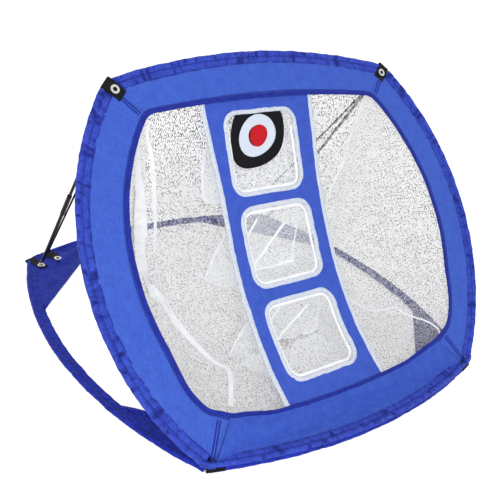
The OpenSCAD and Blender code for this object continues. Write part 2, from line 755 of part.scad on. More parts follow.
// Webbing strap of the hinge: a loop round the panel wire's end, with a tail sewn to the gusset
strap_w = pin_len - 4;
strap_tail = 26;
module hinge_strap(s) {
    ring = wire_r + pin_gap + webbing_t;
    tail_z = base_z + cloth_t / 2 + seam_gap - hinge_z;
    color("#141416") in_place() translate([0, 0, hinge_z]) mirror([s, 0, 0])
        translate([half_w - 3 - strap_w, 0, 0]) rotate([90, 0, 90]) linear_extrude(strap_w) difference() {
            union() {
                circle(ring);
                polygon([
                    [wire_r, -0.2],
                    [ring, -0.2],
                    [2 * ring, tail_z + webbing_t],
                    [strap_tail, tail_z + webbing_t],
                    [strap_tail, tail_z],
                    [1.5 * ring, tail_z],
                    [wire_r - 0.5, -wire_r]
                ]);
            }
            circle(wire_r + pin_gap);
        }
}

// ---- Parts -------------------------------------------------------------------------

base_hoop_wire();
base_sleeve_side(1);  // base_sleeve_left
base_sleeve_side(0);  // base_sleeve_right
base_sleeve_back();
base_sleeve_front();
gusset(1, false);  // gusset_front_left
gusset(0, false);  // gusset_front_right
gusset(1, true);  // gusset_back_left
gusset(0, true);  // gusset_back_right
front_edge_wire();
front_edge_sleeve();
front_apron();
hinge_strap(1);  // hinge_strap_left
hinge_strap(0);  // hinge_strap_right
base_corner(1) tab(base_tab_len, base_eye_in);  // base_tab_left
base_corner(0) tab(base_tab_len, base_eye_in);  // base_tab_right
spare_place(1) tab(base_tab_len, base_eye_in);  // spare_tab_left
spare_place(0) tab(base_tab_len, base_eye_in);  // spare_tab_right
base_corner(1) translate([base_eye_in, 0, 0]) eyelet(base_eyelet_half);  // base_eyelet_left
base_corner(0) translate([base_eye_in, 0, 0]) eyelet(base_eyelet_half);  // base_eyelet_right
spare_place(1) translate([base_eye_in, 0, 0]) eyelet(base_eyelet_half);  // spare_eyelet_left
spare_place(0) translate([base_eye_in, 0, 0]) eyelet(base_eyelet_half);  // spare_eyelet_right
panel_hoop_wire();
panel_sleeve_side(1);  // panel_sleeve_left
panel_sleeve_side(0);  // panel_sleeve_right
panel_sleeve_top();
border_side(1);  // border_left
border_side(0);  // border_right
border_top();
border_bottom();
centre_strip();
strip_binding(1);  // strip_binding_left
strip_binding(0);  // strip_binding_right
hole_binding(hole_top);  // hole_binding_top
hole_binding(hole_mid);  // hole_binding_middle
hole_binding(hole_low);  // hole_binding_bottom
pocket(hole_top, [22, -78], [2, -76]);  // pocket_top
pocket(hole_mid, [60, -90], [40, -85]);  // pocket_middle
pocket(hole_low, [45, -80], [10, -66]);  // pocket_bottom
net_bag();
top_corner(1) tab(top_tab_len, top_eye_in);  // top_tab_left
top_corner(0) tab(top_tab_len, top_eye_in);  // top_tab_right
top_corner(1) translate([top_eye_in, 0, 0]) eyelet(top_eyelet_half);  // top_eyelet_left
top_corner(0) translate([top_eye_in, 0, 0]) eyelet(top_eyelet_half);  // top_eyelet_right
target_patch();
target_white_ring();
target_red_spot();
rod_lower(1);  // rod_lower_left
rod_ferrule(1);  // rod_ferrule_left
rod_upper(1);  // rod_upper_left
rod_tips(1);  // rod_tips_left
elastic_cord(1);  // elastic_cord_left
rod_lower(0);  // rod_lower_right
rod_ferrule(0);  // rod_ferrule_right
rod_upper(0);  // rod_upper_right
rod_tips(0);  // rod_tips_right
elastic_cord(0);  // elastic_cord_right
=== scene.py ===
from math import asin, atan2, copysign, cos, dist, exp, pi, radians, sin, sqrt

import bmesh
import bpy
from mathutils import Matrix, Vector, noise


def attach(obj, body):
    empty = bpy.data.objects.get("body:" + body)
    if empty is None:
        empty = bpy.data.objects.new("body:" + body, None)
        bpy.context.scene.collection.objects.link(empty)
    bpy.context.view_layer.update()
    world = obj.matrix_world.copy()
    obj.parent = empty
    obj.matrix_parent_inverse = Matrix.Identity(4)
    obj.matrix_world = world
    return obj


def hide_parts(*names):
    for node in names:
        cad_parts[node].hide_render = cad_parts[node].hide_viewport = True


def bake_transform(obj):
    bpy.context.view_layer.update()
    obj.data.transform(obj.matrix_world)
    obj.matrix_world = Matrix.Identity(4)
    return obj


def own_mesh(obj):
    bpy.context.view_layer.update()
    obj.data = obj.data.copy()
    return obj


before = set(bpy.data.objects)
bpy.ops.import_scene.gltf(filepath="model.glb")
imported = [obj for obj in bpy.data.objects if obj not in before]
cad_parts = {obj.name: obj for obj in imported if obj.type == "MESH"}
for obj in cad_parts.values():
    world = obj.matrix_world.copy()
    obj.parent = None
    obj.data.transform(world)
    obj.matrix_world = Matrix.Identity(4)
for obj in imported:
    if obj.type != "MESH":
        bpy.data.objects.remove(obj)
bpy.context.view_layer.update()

# ---- Studio ----
# A pale floor without an edge, soft light from the front and the left, and a camera that
# looks down on the net's left front corner.


def linked(name, data):
    made = bpy.data.objects.new(name, data)
    bpy.context.scene.collection.objects.link(made)
    return made


camera_data = bpy.data.cameras.new("camera")
camera_data.sensor_width = 36
camera_data.lens = 54.72
camera = linked("camera", camera_data)
camera.location = (-0.73115, -0.86661, 0.72088)
camera.rotation_euler = [radians(angle) for angle in (61.8685, -8.0196, -35.9849)]
bpy.context.scene.camera = camera
bpy.context.scene.view_settings.view_transform = "Standard"


def colour(hex_code):
    """An sRGB hex colour as linear red, green, blue and 1."""
    parts = [int(hex_code[i:i + 2], 16) / 255 for i in (1, 3, 5)]
    return [p / 12.92 if p <= 0.04045 else ((p + 0.055) / 1.055) ** 2.4 for p in parts] + [1]


def feed(node, **inputs):
    """Sets or links a node's inputs: text is a hex colour, a node gives its first output,
    and _2 is the third input."""
    for key, value in inputs.items():
        socket = node.inputs[int(key[1:]) if key[0] == "_" else key.replace("_", " ")]
        if isinstance(value, bpy.types.Node):
            value = value.outputs[0]
        if isinstance(value, bpy.types.NodeSocket):
            node.id_data.links.new(value, socket)
        else:
            socket.default_value = colour(value) if isinstance(value, str) else value
    return node


def add(beside, kind, settings=None, **inputs):
    """A shader node in a tree, given the tree or anything in it."""
    made = beside.id_data.nodes.new("ShaderNode" + kind)
    for key, value in (settings or {}).items():
        setattr(made, key, value)
    return feed(made, **inputs)


def maths(operation, a, b=0.5):
    return add(a, "Math", {"operation": operation}, _0=a, _1=b)


def empty_tree(owner):
    owner.use_nodes = True
    owner.node_tree.nodes.clear()
    return owner.node_tree


def seen_directly(tree):
    """1 for the camera and for what metal or glass shows of the set, 0 for light."""
    path = add(tree, "LightPath").outputs
    first = maths("MAXIMUM", path["Is Camera Ray"], path["Is Glossy Ray"])
    return maths("MAXIMUM", first, path["Is Transmission Ray"])


def object_from(bm, name, material, thick=None):
    """A smooth object of one material, with a thickness in metres if it is cloth."""
    mesh = bpy.data.meshes.new(name)
    bm.to_mesh(mesh)
    bm.free()
    mesh.materials.append(material)
    mesh.polygons.foreach_set("use_smooth", [True] * len(mesh.polygons))
    piece = linked(name, mesh)
    if thick:
        wall = piece.modifiers.new("cloth", "SOLIDIFY")
        wall.thickness = thick
        wall.offset = 0
    return piece


WHITE = (1, 1, 1, 1)
world = bpy.data.worlds.new("white_studio")
bpy.context.scene.world = world
tree = empty_tree(world)
mix = add(tree, "MixShader", _0=seen_directly(tree),
    _1=add(tree, "Background", Color=WHITE, Strength=0.55),
    _2=add(tree, "Background", Color=WHITE, Strength=1.0))
add(tree, "OutputWorld", Surface=mix)

floor_material = bpy.data.materials.new("studio_floor")
tree = empty_tree(floor_material)
lift = maths("MULTIPLY", seen_directly(tree), 0.6)
both = add(tree, "AddShader", _0=add(tree, "BsdfDiffuse", Color=(0.9, 0.9, 0.9, 1)),
    _1=add(tree, "Emission", Color=WHITE, Strength=lift))
add(tree, "OutputMaterial", Surface=both)
bm = bmesh.new()
bmesh.ops.create_grid(bm, x_segments=1, y_segments=1, size=8)
bmesh.ops.translate(bm, verts=bm.verts, vec=(0, 0, -0.0003))
object_from(bm, "floor", floor_material)

for name, place, aim, size, power in (
    ("key_lamp", (-1.2, -1.7, 1.3), (0, 0, 0.2), 1.1, 26),
    ("top_lamp", (0.2, 0.5, 2.8), (0, 0, 0.1), 2.2, 7),
):
    lamp_data = bpy.data.lights.new(name, "AREA")
    lamp_data.shape = "DISK"
    lamp_data.size = size
    lamp_data.energy = power
    lamp = linked(name, lamp_data)
    lamp.location = place
    lamp.rotation_euler = (Vector(aim) - Vector(place)).to_track_quat("-Z", "Y").to_euler()

# ---- Elastic cords ----
# A braided elastic runs taut from each top tab to the base's spare tab and pulls the front
# back against its rod.

LEAN = radians(50.6)     # the front's lean above the ground
FOLD_Y, FOLD_Z = -297.5, 9.8  # the line on which it folds, in mm
# Between corners, in mm: up the front, half across, and from front to back of the base.
PANEL_H, HALF_W, BASE_D = 523, 265, 590
SIDES = (("left", -1), ("right", 1))
X, Z = Vector((1, 0, 0)), Vector((0, 0, 1))
FRONTWARD = Vector((0, -sin(LEAN), cos(LEAN)))
UPWARD = Vector((0, cos(LEAN), sin(LEAN)))


def ground(x, y, z):
    """A point of the base, from mm across, back from the fold line and up."""
    return Vector((x, FOLD_Y + y, z)) * 0.001


def panel(u, v, n=0.0):
    """A point of the front, from mm across, up it from the fold line and behind it."""
    return Vector((u, FOLD_Y + v * cos(LEAN) + n * sin(LEAN),
        FOLD_Z + v * sin(LEAN) - n * cos(LEAN))) * 0.001


def bowed(half_chord, rise):
    """Radius and half angle of an arc over a chord."""
    radius = (half_chord ** 2 + rise ** 2) / (2 * rise)
    return radius, asin(half_chord / radius)


def laid(bm, across, along, place, size):
    """A grid with its points at place(s, t), both from 0 to 1, and a map in metres."""
    uv = bm.loops.layers.uv.verify()
    made = bmesh.ops.create_grid(bm, x_segments=across, y_segments=along, size=0.5)["verts"]
    spots = {vert: (vert.co.x + 0.5, vert.co.y + 0.5) for vert in made}
    for face in {face for vert in made for face in vert.link_faces}:
        for loop in face.loops:
            s, t = spots[loop.vert]
            loop[uv].uv = (s * size[0], t * size[1])
    for vert, (s, t) in spots.items():
        vert.co = place(s, t)
    bmesh.ops.remove_doubles(bm, verts=made, dist=2e-6)
    return bm


def reach_of(points):
    """How far each point lies along a line."""
    reach = [0.0]
    for a, b in zip(points, points[1:]):
        reach.append(reach[-1] + (b - a).length)
    return reach


def swept(bm, frames, section, closed=False, ripple=None):
    """A section in mm swept along frames (point, across, up); ripple moves its points."""
    reach = reach_of([point for point, _, _ in frames])
    around, along = len(section), len(frames) - 1

    def place(s, t):
        j = round(t * along)
        point, across, up = frames[j]
        a, b = section[round(s * around) % around]
        if ripple:
            a, b = ripple(reach[j] * 1000, a, b)
        return point + (across * a + up * b) * 0.001

    rim = sum(dist(section[k], section[k - 1]) for k in range(around)) * 0.001
    laid(bm, around, along, place, (rim, reach[-1]))
    if not closed:
        rims = [edge for edge in bm.edges if edge.is_boundary]
        bmesh.ops.holes_fill(bm, edges=rims, sides=around + 1)
    bmesh.ops.recalc_face_normals(bm, faces=bm.faces)
    return bm


def spread(name, material, across, along, place, size, thick=None):
    return object_from(laid(bmesh.new(), across, along, place, size), name, material, thick)


def tube(name, material, frames, section, **more):
    return object_from(swept(bmesh.new(), frames, section, **more), name, material)


def framed(points, face=None, across=None, closed=False):
    """Frames along points, with up on a face's side or one across for all. A closed line
    ends on its first point."""
    last = len(points) - 1
    frames = []
    for k, point in enumerate(points):
        if closed:
            way = points[(k + 1) % last] - points[(k - 1) % last]
        else:
            way = points[min(k + 1, last)] - points[max(k - 1, 0)]
        way.normalize()
        side = way.cross(face).normalized() if across is None else across
        frames.append((point, side, side.cross(way).normalized()))
    return frames


def ring(radius, sides):
    turns = [2 * pi * k / sides for k in range(sides)]
    return [(radius * cos(a), radius * sin(a)) for a in turns]


def surface(name, roughness, **more):
    """A material of one Principled shader, with its coordinates first."""
    material = bpy.data.materials.new(name)
    tree = empty_tree(material)
    shader = add(tree, "BsdfPrincipled", Roughness=roughness, **more)
    add(tree, "OutputMaterial", Surface=shader)
    return add(tree, "TexCoord").outputs, shader, material


def relief(height, strength, depth, under=None, invert=False):
    """A bump, its depth in metres, on top of the one under it."""
    made = add(height, "Bump", {"invert": invert}, Height=height, Strength=strength,
        Distance=depth)
    return made if under is None else feed(made, Normal=under)


def on_body(piece, body, slot, *nodes):
    """The piece rides on a body and stands for CAD nodes."""
    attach(piece, body)
    if nodes:
        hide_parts(*nodes)


# Crossing yarns over rubber, matt black. The braid is 2.4 mm long, drawn 4 mm so that it
# shows.
where, shader, elastic_braid = surface("braided_elastic", 0.7, Specular_IOR_Level=0.15)
crossed = add(shader, "Mapping", Vector=where["UV"], Scale=(560, 250, 1))
strands = add(shader, "TexChecker", Vector=crossed, Scale=1.0, Color1="#17171a", Color2="#08080a")
feed(shader, Base_Color=strands, Normal=relief(strands.outputs["Fac"], 0.5, 0.0003))

BACK_BOW = 48       # how far the base's back is bowed out
BACK_R, BACK_A = bowed(HALF_W, BACK_BOW)
SPARE_TURN = asin((HALF_W - 38) / BACK_R)
CORD_D = 3.4
WIRE_Z = 3          # middle of the base's wire
WIRE_LOOP = 2.9     # outside of the webbing where it goes round the wire
TAB_END = 1.5       # half its thickness where it closes on the cloth
SPARE_WIRE = (BACK_R * sin(SPARE_TURN), BASE_D + BACK_BOW - BACK_R + BACK_R * cos(SPARE_TURN))
cord_low = (SPARE_WIRE[0] - 3, SPARE_WIRE[1] - 1, WIRE_Z + WIRE_LOOP + 0.3 + 0.3 * CORD_D)
top_inset = 27 * sin(radians(45))
for side, sign in SIDES:
    low = ground(sign * cord_low[0], cord_low[1], cord_low[2])
    high = panel(sign * (HALF_W - top_inset), PANEL_H - top_inset, TAB_END + 0.3 + 0.15 * CORD_D)
    route = [low.lerp(high, k / 24) for k in range(25)]
    cord = tube("elastic_" + side, elastic_braid, framed(route, X), ring(CORD_D / 2, 12))
    on_body(cord, "base", "black_elastic", "elastic_cord_" + side)
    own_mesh(cord)
    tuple(low)
    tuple(low)

# ---- Base hoop ----
# Spring steel wire in a polyester sleeve, sewn shut with a flat band inside the wire and
# gathered on it, so that it stands in small puckers.


def clouds(source, scale, **inputs):
    """Noise with its scale per metre, one number or three."""
    scale = scale if hasattr(scale, "__len__") else (scale,) * 3
    mapping = add(source, "Mapping", Vector=source, Scale=scale)
    return add(source, "TexNoise", Vector=mapping, **inputs)


def ribs_of(source, direction, spacing):
    """Ribs across X or Y of a map, with their spacing in mm."""
    return add(source, "TexWave", {"bands_direction": direction}, Vector=source,
        Scale=100 * pi / spacing).outputs["Fac"]


def ranged(value, low, high, start=0.0, end=1.0):
    return add(value, "MapRange", Value=value, _1=low, _2=high, _3=start, _4=end)


def mixed(share, first, second):
    return add(share, "Mix", {"data_type": "RGBA"}, Factor=share, _6=first, _7=second).outputs[2]


def blue_polyester(name, bright, dark, seams=(), crease=0.6, tuck_shade=0.0):
    """Satin woven polyester with soft creases; its yarns are 0.4 mm apart, drawn at 1.6 mm
    so that they show. Seams are sewn lines, in mm across the cloth, with painted shade in
    their grooves, and the last number is how deep the painted shade in the tucks of a
    drawn-in edge is."""
    where, shader, material = surface(name, 0.52, Specular_IOR_Level=0.14,
        Sheen_Weight=0.03, Sheen_Roughness=0.4)
    blotch = clouds(where["Object"], 16, Detail=4.0, Roughness=0.55)
    base = mixed(ranged(blotch, 0.3, 0.7), dark, bright)
    feed(shader, Roughness=ranged(blotch, 0.2, 0.8, 0.46, 0.58))
    folds = clouds(where["Object"], 38, Detail=3.0, Roughness=0.5, Distortion=0.6)
    yarns = maths("MULTIPLY", *(ribs_of(where["UV"], axis, 1.6) for axis in "XY"))
    normal = relief(folds, 0.5, crease * 0.008)
    normal = relief(yarns, 0.25, 0.0002, normal)
    if tuck_shade:
        # Tucks about 13 mm apart run across the gathered edge; painted shade darkens their
        # grooves.
        tucks = clouds(where["UV"], (34, 84, 1), Scale=1.0, Detail=3.0, Roughness=0.6,
            Distortion=0.4)
        base = mixed(ranged(tucks, 0.5, 0.66, 0.0, tuck_shade), base, "#131c7c")
        normal = relief(tucks, 0.8, 0.006, normal, invert=True)
    across, sewn = add(shader, "SeparateXYZ", Vector=where["UV"]), 0.0
    for seam in seams:
        away = maths("ABSOLUTE", maths("SUBTRACT", across, seam * 0.001))
        sewn = maths("MAXIMUM", ranged(away, 0.0006, 0.0016, 1.0, 0.0), sewn)
    if seams:
        # Thread of the same blue in 3 mm stitches, pulled into a groove that is darkened with
        # painted shade.
        thread = maths("MULTIPLY", sewn, ribs_of(where["UV"], "Y", 3))
        base = mixed(maths("MULTIPLY", sewn, 0.85), base, "#141e86")
        base = mixed(maths("MULTIPLY", thread, 0.4), base, "#4a64cc")
        normal = relief(sewn, 0.6, 0.0008, normal, invert=True)
    feed(shader, Base_Color=base, Normal=normal)
    return material


def run(centre, radius, middle, half):
    """A run of a hoop's wire: place(t, inset) gives a point and the outward direction."""
    start, end = middle - half, middle + half

    def place(t, inset=0.0):
        angle = start + (end - start) * t
        outward = Vector((cos(angle), sin(angle)))
        return place.centre + outward * (radius - inset), outward
    place.centre, place.radius, place.length = Vector(centre), radius, radius * abs(end - start)
    return place


QUARTER = pi / 2
FRONT_BOW, BASE_SIDE_BOW = 43, 68
FRONT_R, FRONT_A = bowed(HALF_W, FRONT_BOW)
BASE_SIDE_R, BASE_SIDE_A = bowed(BASE_D / 2, BASE_SIDE_BOW)
BASE_SIDE_X = HALF_W + BASE_SIDE_BOW - BASE_SIDE_R
BASE_RUNS = {
    "front": run((0, FRONT_R - FRONT_BOW), FRONT_R, 3 * QUARTER, FRONT_A),
    "back": run((0, BASE_D + BACK_BOW - BACK_R), BACK_R, QUARTER, BACK_A),
    "right": run((BASE_SIDE_X, BASE_D / 2), BASE_SIDE_R, 0, BASE_SIDE_A),
    "left": run((-BASE_SIDE_X, BASE_D / 2), BASE_SIDE_R, pi, -BASE_SIDE_A),
}


def run_frames(place, start, end, steps, z=None):
    """Frames along part of a run, in mm: flat at z, or on the front."""
    frames = []
    for k in range(steps + 1):
        at, outward = place((start + (end - start) * k / steps) / place.length)
        if z is None:
            across = Vector((outward.x, 0, 0)) + UPWARD * outward.y
            frames.append((panel(at.x, at.y), across, FRONTWARD))
        else:
            frames.append((ground(at.x, at.y, z), outward.to_3d(), Z))
    return frames


# Sleeve's section: round over the wire, then a flat band of two layers inwards and back.
SLEEVE = [(-16.6, 0.1), (-16.3, 0.75), (-15.0, 0.8), (-14.2, 0.35), (-13.4, 0.8), (-10.5, 1.0),
    (-7.6, 0.9), (-6.2, 0.45), (-5.4, 0.8), (-4.3, 1.7)]
SLEEVE += [(3.6 * cos(a), 3.6 * sin(a)) for a in (2.45, 2.05, 1.65, 1.2, 0.8, 0.4, 0.0)]
SLEEVE += [(a, -b) for a, b in reversed(SLEEVE[1:-1])]


def wavy(x, y, z):
    """Smooth noise, from about -1 to 1."""
    return noise.noise(Vector((x, y, z)))


def puckers(seed, floor=None, size=1.0):
    """Gathers of a sleeve: folds across it, deepest at the seam."""
    def ripple(at, a, b):
        wide = wavy(at / 23, seed * 7.3, 0)
        small = wavy(at / 7.0, seed * 3.1, a / 14)
        side = 1 if b > 0 else -1
        if a > -5.0:
            a += size * (0.8 * wide + 0.5 * small)
            b += side * size * (0.5 * small + 0.35 * wide)
        else:
            b += size * (0.9 * wavy(at / 11, seed * 5.7, a / 16) + 1.1 * small)
            a += size * (0.7 * wide + (1.2 * small if a < -15 else 0))
        return a, (b if floor is None else max(b, floor))
    return ripple


def sleeve(name, material, node, place, gaps, seed, z=None, **more):
    """A sleeve on a run, with a gap in mm before and after it."""
    frames = run_frames(place, gaps[0], place.length - gaps[1], round(place.length / 3), z)
    piece = tube(name, material, frames, SLEEVE, ripple=puckers(seed, **more))
    on_body(piece, "panel" if z is None else "base", "sleeve_fabric", node)


# The base's sleeves are the same cloth as the front's, drawn darker as painted shade.
base_sleeve_cloth = blue_polyester("base_sleeve_polyester", "#283cc0", "#1a289e",
    seams=(3.2, 11.3), crease=1.2, tuck_shade=0.5)
for side, gaps in (("left", (2, 9)), ("right", (2, 9)), ("back", (9, 9)), ("front", (6, 6))):
    sleeve("base_hoop_sleeve_" + side, base_sleeve_cloth, "base_sleeve_" + side, BASE_RUNS[side],
        gaps, len(side), WIRE_Z, floor=-2.9)


def grained(name, roughness, base, scale, detail, bump, rough=0.5, spread=None, wear=None, **more):
    """A material with a fine grain. Base is one colour, or two that the grain's spread
    takes in; bump is its strength and depth in metres; wear is its range and the roughness
    at both ends."""
    where, shader, material = surface(name, roughness, **more)
    grain = clouds(where["Object"], scale, Detail=detail, Roughness=rough)
    if not isinstance(base, str):
        base = mixed(ranged(grain, *spread) if spread else grain, *base)
    feed(shader, Base_Color=base, Normal=relief(grain, *bump))
    if wear:
        feed(shader, Roughness=ranged(grain, *wear))
    return material


def finish(material, *names):
    """CAD nodes keep their meshes and get a finer material."""
    for name in names:
        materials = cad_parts[name].data.materials
        materials.clear()
        materials.append(material)


# The wire inside is bright drawn spring steel; only its corners can be seen.
finish(grained("drawn_spring_steel", 0.32, "#9a9ca0", 900, 2.0, (0.15, 0.0001), Metallic=1.0),
    "base_hoop_wire", "front_edge_wire", "panel_hoop_wire")

# ---- Corner gussets ----
# A triangle of cloth fills each corner of the base, its outer edges in the sleeve's seam
# and its slanting edge hemmed.

# Drawn darker than the front's cloth, as painted shade on the flat base.
gusset_cloth = blue_polyester("gusset_polyester", "#2a3fbc", "#1c2a9e", crease=2.2)
GUSSET_LEG = 120
CLOTH_IN = 14.2      # how far the cloth's edge lies inside the wire, within the sleeve's seam
CLOTH_T = 0.0009     # in metres, with its coating


def gusset_outline(sign, back):
    """Its outer edge, from one end of the slant over the corner to the other."""
    corner_y, direction = (BASE_D, -1) if back else (0, 1)
    side, end = BASE_RUNS["right"], BASE_RUNS["back" if back else "front"]

    def inside(run, other):
        """Points of a run between the slant and the other run."""
        points = [run(k / 160, CLOTH_IN)[0] for k in range(161)]
        return [p for p in points
            if p.x > 0 and (p.x - (HALF_W - GUSSET_LEG)) - direction * (p.y - corner_y) >= 0
            and (p - other.centre).length <= other.radius - CLOTH_IN + 0.01]

    points = sorted(inside(end, side), key=lambda p: p.x)
    points += sorted(inside(side, end), key=lambda p: abs(p.y - corner_y))
    return [Vector((sign * p.x, p.y)) for p in points]


def spaced(points, count):
    """The same line with its points an even distance apart."""
    reach, result, k = reach_of(points), [], 0
    for i in range(count + 1):
        want = reach[-1] * i / count
        while k < len(points) - 2 and reach[k + 1] < want:
            k += 1
        span = max(reach[k + 1] - reach[k], 1e-9)
        result.append(points[k].lerp(points[k + 1], min(1, max(0, (want - reach[k]) / span))))
    return result


def hem_section(width, thick):
    """A flat, rounded strip."""
    return [(width / 2 * copysign(abs(x) ** 0.5, x),
        thick / 2 * copysign(abs(y) ** 0.7, y)) for x, y in ring(1, 12)]


for side, sign in SIDES:
    for end, back in (("front", False), ("back", True)):
        outline = spaced(gusset_outline(sign, back), 36)
        slant = (outline[0], outline[-1])
        seed = 3 * sign + (11 if back else 5)

        def place(s, t):
            at = slant[0].lerp(slant[1], s).lerp(outline[round(s * 36)], t)
            ease = sin(pi * min(1, t * 1.1))
            pull = atan2(at.y - (BASE_D if back else 0), abs(at.x) - HALF_W)
            lift = 4.5 * wavy(at.x / 40, at.y / 40, seed)
            lift = max(-2.0, lift + 4.5 * wavy(pull * 6, seed, at.x / 90)) * ease
            return ground(at.x, at.y, WIRE_Z + lift)

        length = (slant[1] - slant[0]).length * 0.001
        piece = spread(f"{end}_{side}_gusset", gusset_cloth, 36, 16, place,
            (length, length / 2), CLOTH_T)
        on_body(piece, "base", "base_fabric", f"gusset_{end}_{side}")
        line = [slant[0].lerp(slant[1], k / 30) for k in range(31)]
        hem = tube(f"{end}_{side}_gusset_hem", base_sleeve_cloth,
            framed([ground(p.x, p.y, WIRE_Z) for p in line], Z), hem_section(7, 2.2),
            ripple=puckers(seed))
        on_body(hem, "base", "base_fabric")

# ---- Front edge ----
# The front hoop's lower run is sewn onto the base's. From its sleeve the lower border goes
# flat to the fold line and then up to the window.

TOP_BOW, SIDE_BOW = 34, 95
TOP_R, TOP_A = bowed(HALF_W, TOP_BOW)
SIDE_R, SIDE_A = bowed(PANEL_H / 2, SIDE_BOW)
SIDE_C = Vector((HALF_W + SIDE_BOW - SIDE_R, PANEL_H / 2))
TOP_C = Vector((0, PANEL_H + TOP_BOW - TOP_R))
STRIP_X, STRIP_HALF = -13, 98
SAG, SAG_FROM, SAG_TO = 44, 14, PANEL_H - 29     # the strip's deepest sag, and its two ends


def sag_at(v):
    """How far the middle strip hangs behind the hoop's plane."""
    t = min(1, max(0, (v - SAG_FROM) / (SAG_TO - SAG_FROM)))
    return SAG * 4 * t * (1 - t) * (1 - 0.38 * (2 * t - 1))


def fade(x):
    x = min(1, max(0, x))
    return x * x * (3 - 2 * x)


def sag(u, v):
    """The same anywhere: the pull fades out to the sides."""
    return sag_at(v) * (1 - fade((abs(u - STRIP_X) - STRIP_HALF) / (230 - STRIP_HALF)))


def cloth_n(u, v, free=1.0):
    """The border cloth behind the hoop's plane, with soft billows."""
    billow = wavy(u / 70, v / 70, 4.2)
    billow += 0.45 * wavy(u / 27, v / 27, 9.1)
    return sag(u, v) + 1.3 * billow * free


def crossing(c1, r1, c2, r2):
    """Where two circles cross, on the left from the first to the second."""
    d = (c2 - c1).length
    e = (c2 - c1) / d
    a = (d * d + r1 * r1 - r2 * r2) / (2 * d)
    return c1 + e * a + Vector((-e.y, e.x)) * sqrt(r1 * r1 - a * a)


def side_x(inset, v):
    """The point at a height on the front's side circle, drawn in by an inset."""
    return SIDE_C + Vector((sqrt((SIDE_R - inset) ** 2 - (v - SIDE_C.y) ** 2), v - SIDE_C.y))


BORDER_W, BOTTOM_BORDER, WINDOW_R = 67, 38, 32
EDGE_BOW = 12        # how far the window's lower edge is drawn down in its middle
WIN_SIDE_R, WIN_TOP_R = SIDE_R - BORDER_W, 1.8 * TOP_R
WIN_TOP_C = Vector((0, PANEL_H + TOP_BOW - BORDER_W - WIN_TOP_R))
TOP_FILLET = crossing(SIDE_C, WIN_SIDE_R - WINDOW_R, WIN_TOP_C, WIN_TOP_R - WINDOW_R)
LOW_FILLET = side_x(BORDER_W + WINDOW_R, BOTTOM_BORDER + WINDOW_R)


def heading(p):
    return atan2(p.y, p.x)


def on_circle(centre, radius, angle):
    return centre + Vector((cos(angle), sin(angle))) * radius


def arc_line(centre, radius, start, end, count):
    return [on_circle(centre, radius, start + (end - start) * k / count) for k in range(count + 1)]


SIDE_TOP_A, SIDE_LOW_A = heading(TOP_FILLET - SIDE_C), heading(LOW_FILLET - SIDE_C)
TOP_END_A = heading(TOP_FILLET - WIN_TOP_C)
TOP_MID_A = (SIDE_TOP_A + TOP_END_A) / 2
LOW_MID_A = (SIDE_LOW_A - QUARTER) / 2
# Window edge, right half upwards: corner, side, corner, then the top to the middle.
right_edge = arc_line(LOW_FILLET, WINDOW_R, LOW_MID_A, SIDE_LOW_A, 8)
right_edge += arc_line(SIDE_C, WIN_SIDE_R, SIDE_LOW_A, SIDE_TOP_A, 60)[1:]
right_edge += arc_line(TOP_FILLET, WINDOW_R, SIDE_TOP_A, TOP_MID_A, 8)[1:]
half_top = arc_line(TOP_FILLET, WINDOW_R, TOP_MID_A, TOP_END_A, 8)
half_top += arc_line(WIN_TOP_C, WIN_TOP_R, TOP_END_A, QUARTER, 30)[1:]
half_low = arc_line(LOW_FILLET, WINDOW_R, LOW_MID_A, -QUARTER, 8)
half_low += [Vector((LOW_FILLET.x * (1 - k / 30),
    BOTTOM_BORDER - EDGE_BOW * (1 - (1 - k / 30) ** 2))) for k in range(1, 31)]


def slack(points):
    """The window's low corner, drawn outwards beside it and upwards under it."""
    return [Vector((p.x + 11 * fade((165 - p.y) / 80) * fade((p.y - 38) / 22),
        p.y + 9 * fade((p.x - 120) / 85) * fade((75 - p.y) / 30))) for p in points]


def turned(points):
    return [Vector((-p.x, p.y)) for p in points]


def whole(half):
    """A line from one end through the middle to the mirrored end."""
    return half + turned(half)[-2::-1]


right_edge, half_low = slack(right_edge), slack(half_low)
cloth_top = crossing(SIDE_C, SIDE_R - CLOTH_IN, TOP_C, TOP_R - CLOTH_IN)
cloth_low = side_x(CLOTH_IN, 1.8)

# Upper sleeve of the front edge, on top of the base's.
sleeve_cloth = blue_polyester("sleeve_polyester", "#4058d0", "#3146ba", seams=(3.2, 11.3),
    crease=1.4, tuck_shade=0.9)
sleeve("front_edge_hoop_sleeve", sleeve_cloth, "front_edge_sleeve", BASE_RUNS["front"], (11, 11),
    2.6, FOLD_Z, size=0.7)

border_cloth = blue_polyester("border_polyester", "#4568d2", "#3e5dc7", seams=(45.6,), crease=0.9)
LOW_COLUMNS = 120
low_edge = spaced(whole(half_low)[::-1], LOW_COLUMNS)


def lower_border_place(s, t):
    """Flat from the sleeve to the fold line, then up the front to the window."""
    inner = low_edge[round(s * LOW_COLUMNS)]
    u = inner.x + (cloth_low.x * (2 * s - 1) - inner.x) * (1 - t)
    seam = sqrt(max(0.0, (FRONT_R - CLOTH_IN) ** 2 - u * u))
    depth = max(0.0, seam - (FRONT_R - FRONT_BOW))
    v = t * (depth + inner.y) - depth
    if v < 0:
        drop = 1.2 * wavy(u / 40, (v + depth) / 20, 1.7)
        return ground(u, v, FOLD_Z + 0.4 * drop)
    return panel(u, v, cloth_n(u, v) * fade(v / 16) - 0.4)


lower_cloth = blue_polyester("lower_border_polyester", "#4062cb", "#3855bd")
lower_border = spread("lower_border", lower_cloth, LOW_COLUMNS, 18, lower_border_place,
    (0.5, 0.064), CLOTH_T)
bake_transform(lower_border)
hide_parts("front_apron", "border_bottom")

# ---- Front hoop ----
# The same wire and sleeve, leaning back. The sleeves stop at the top corners' tabs.

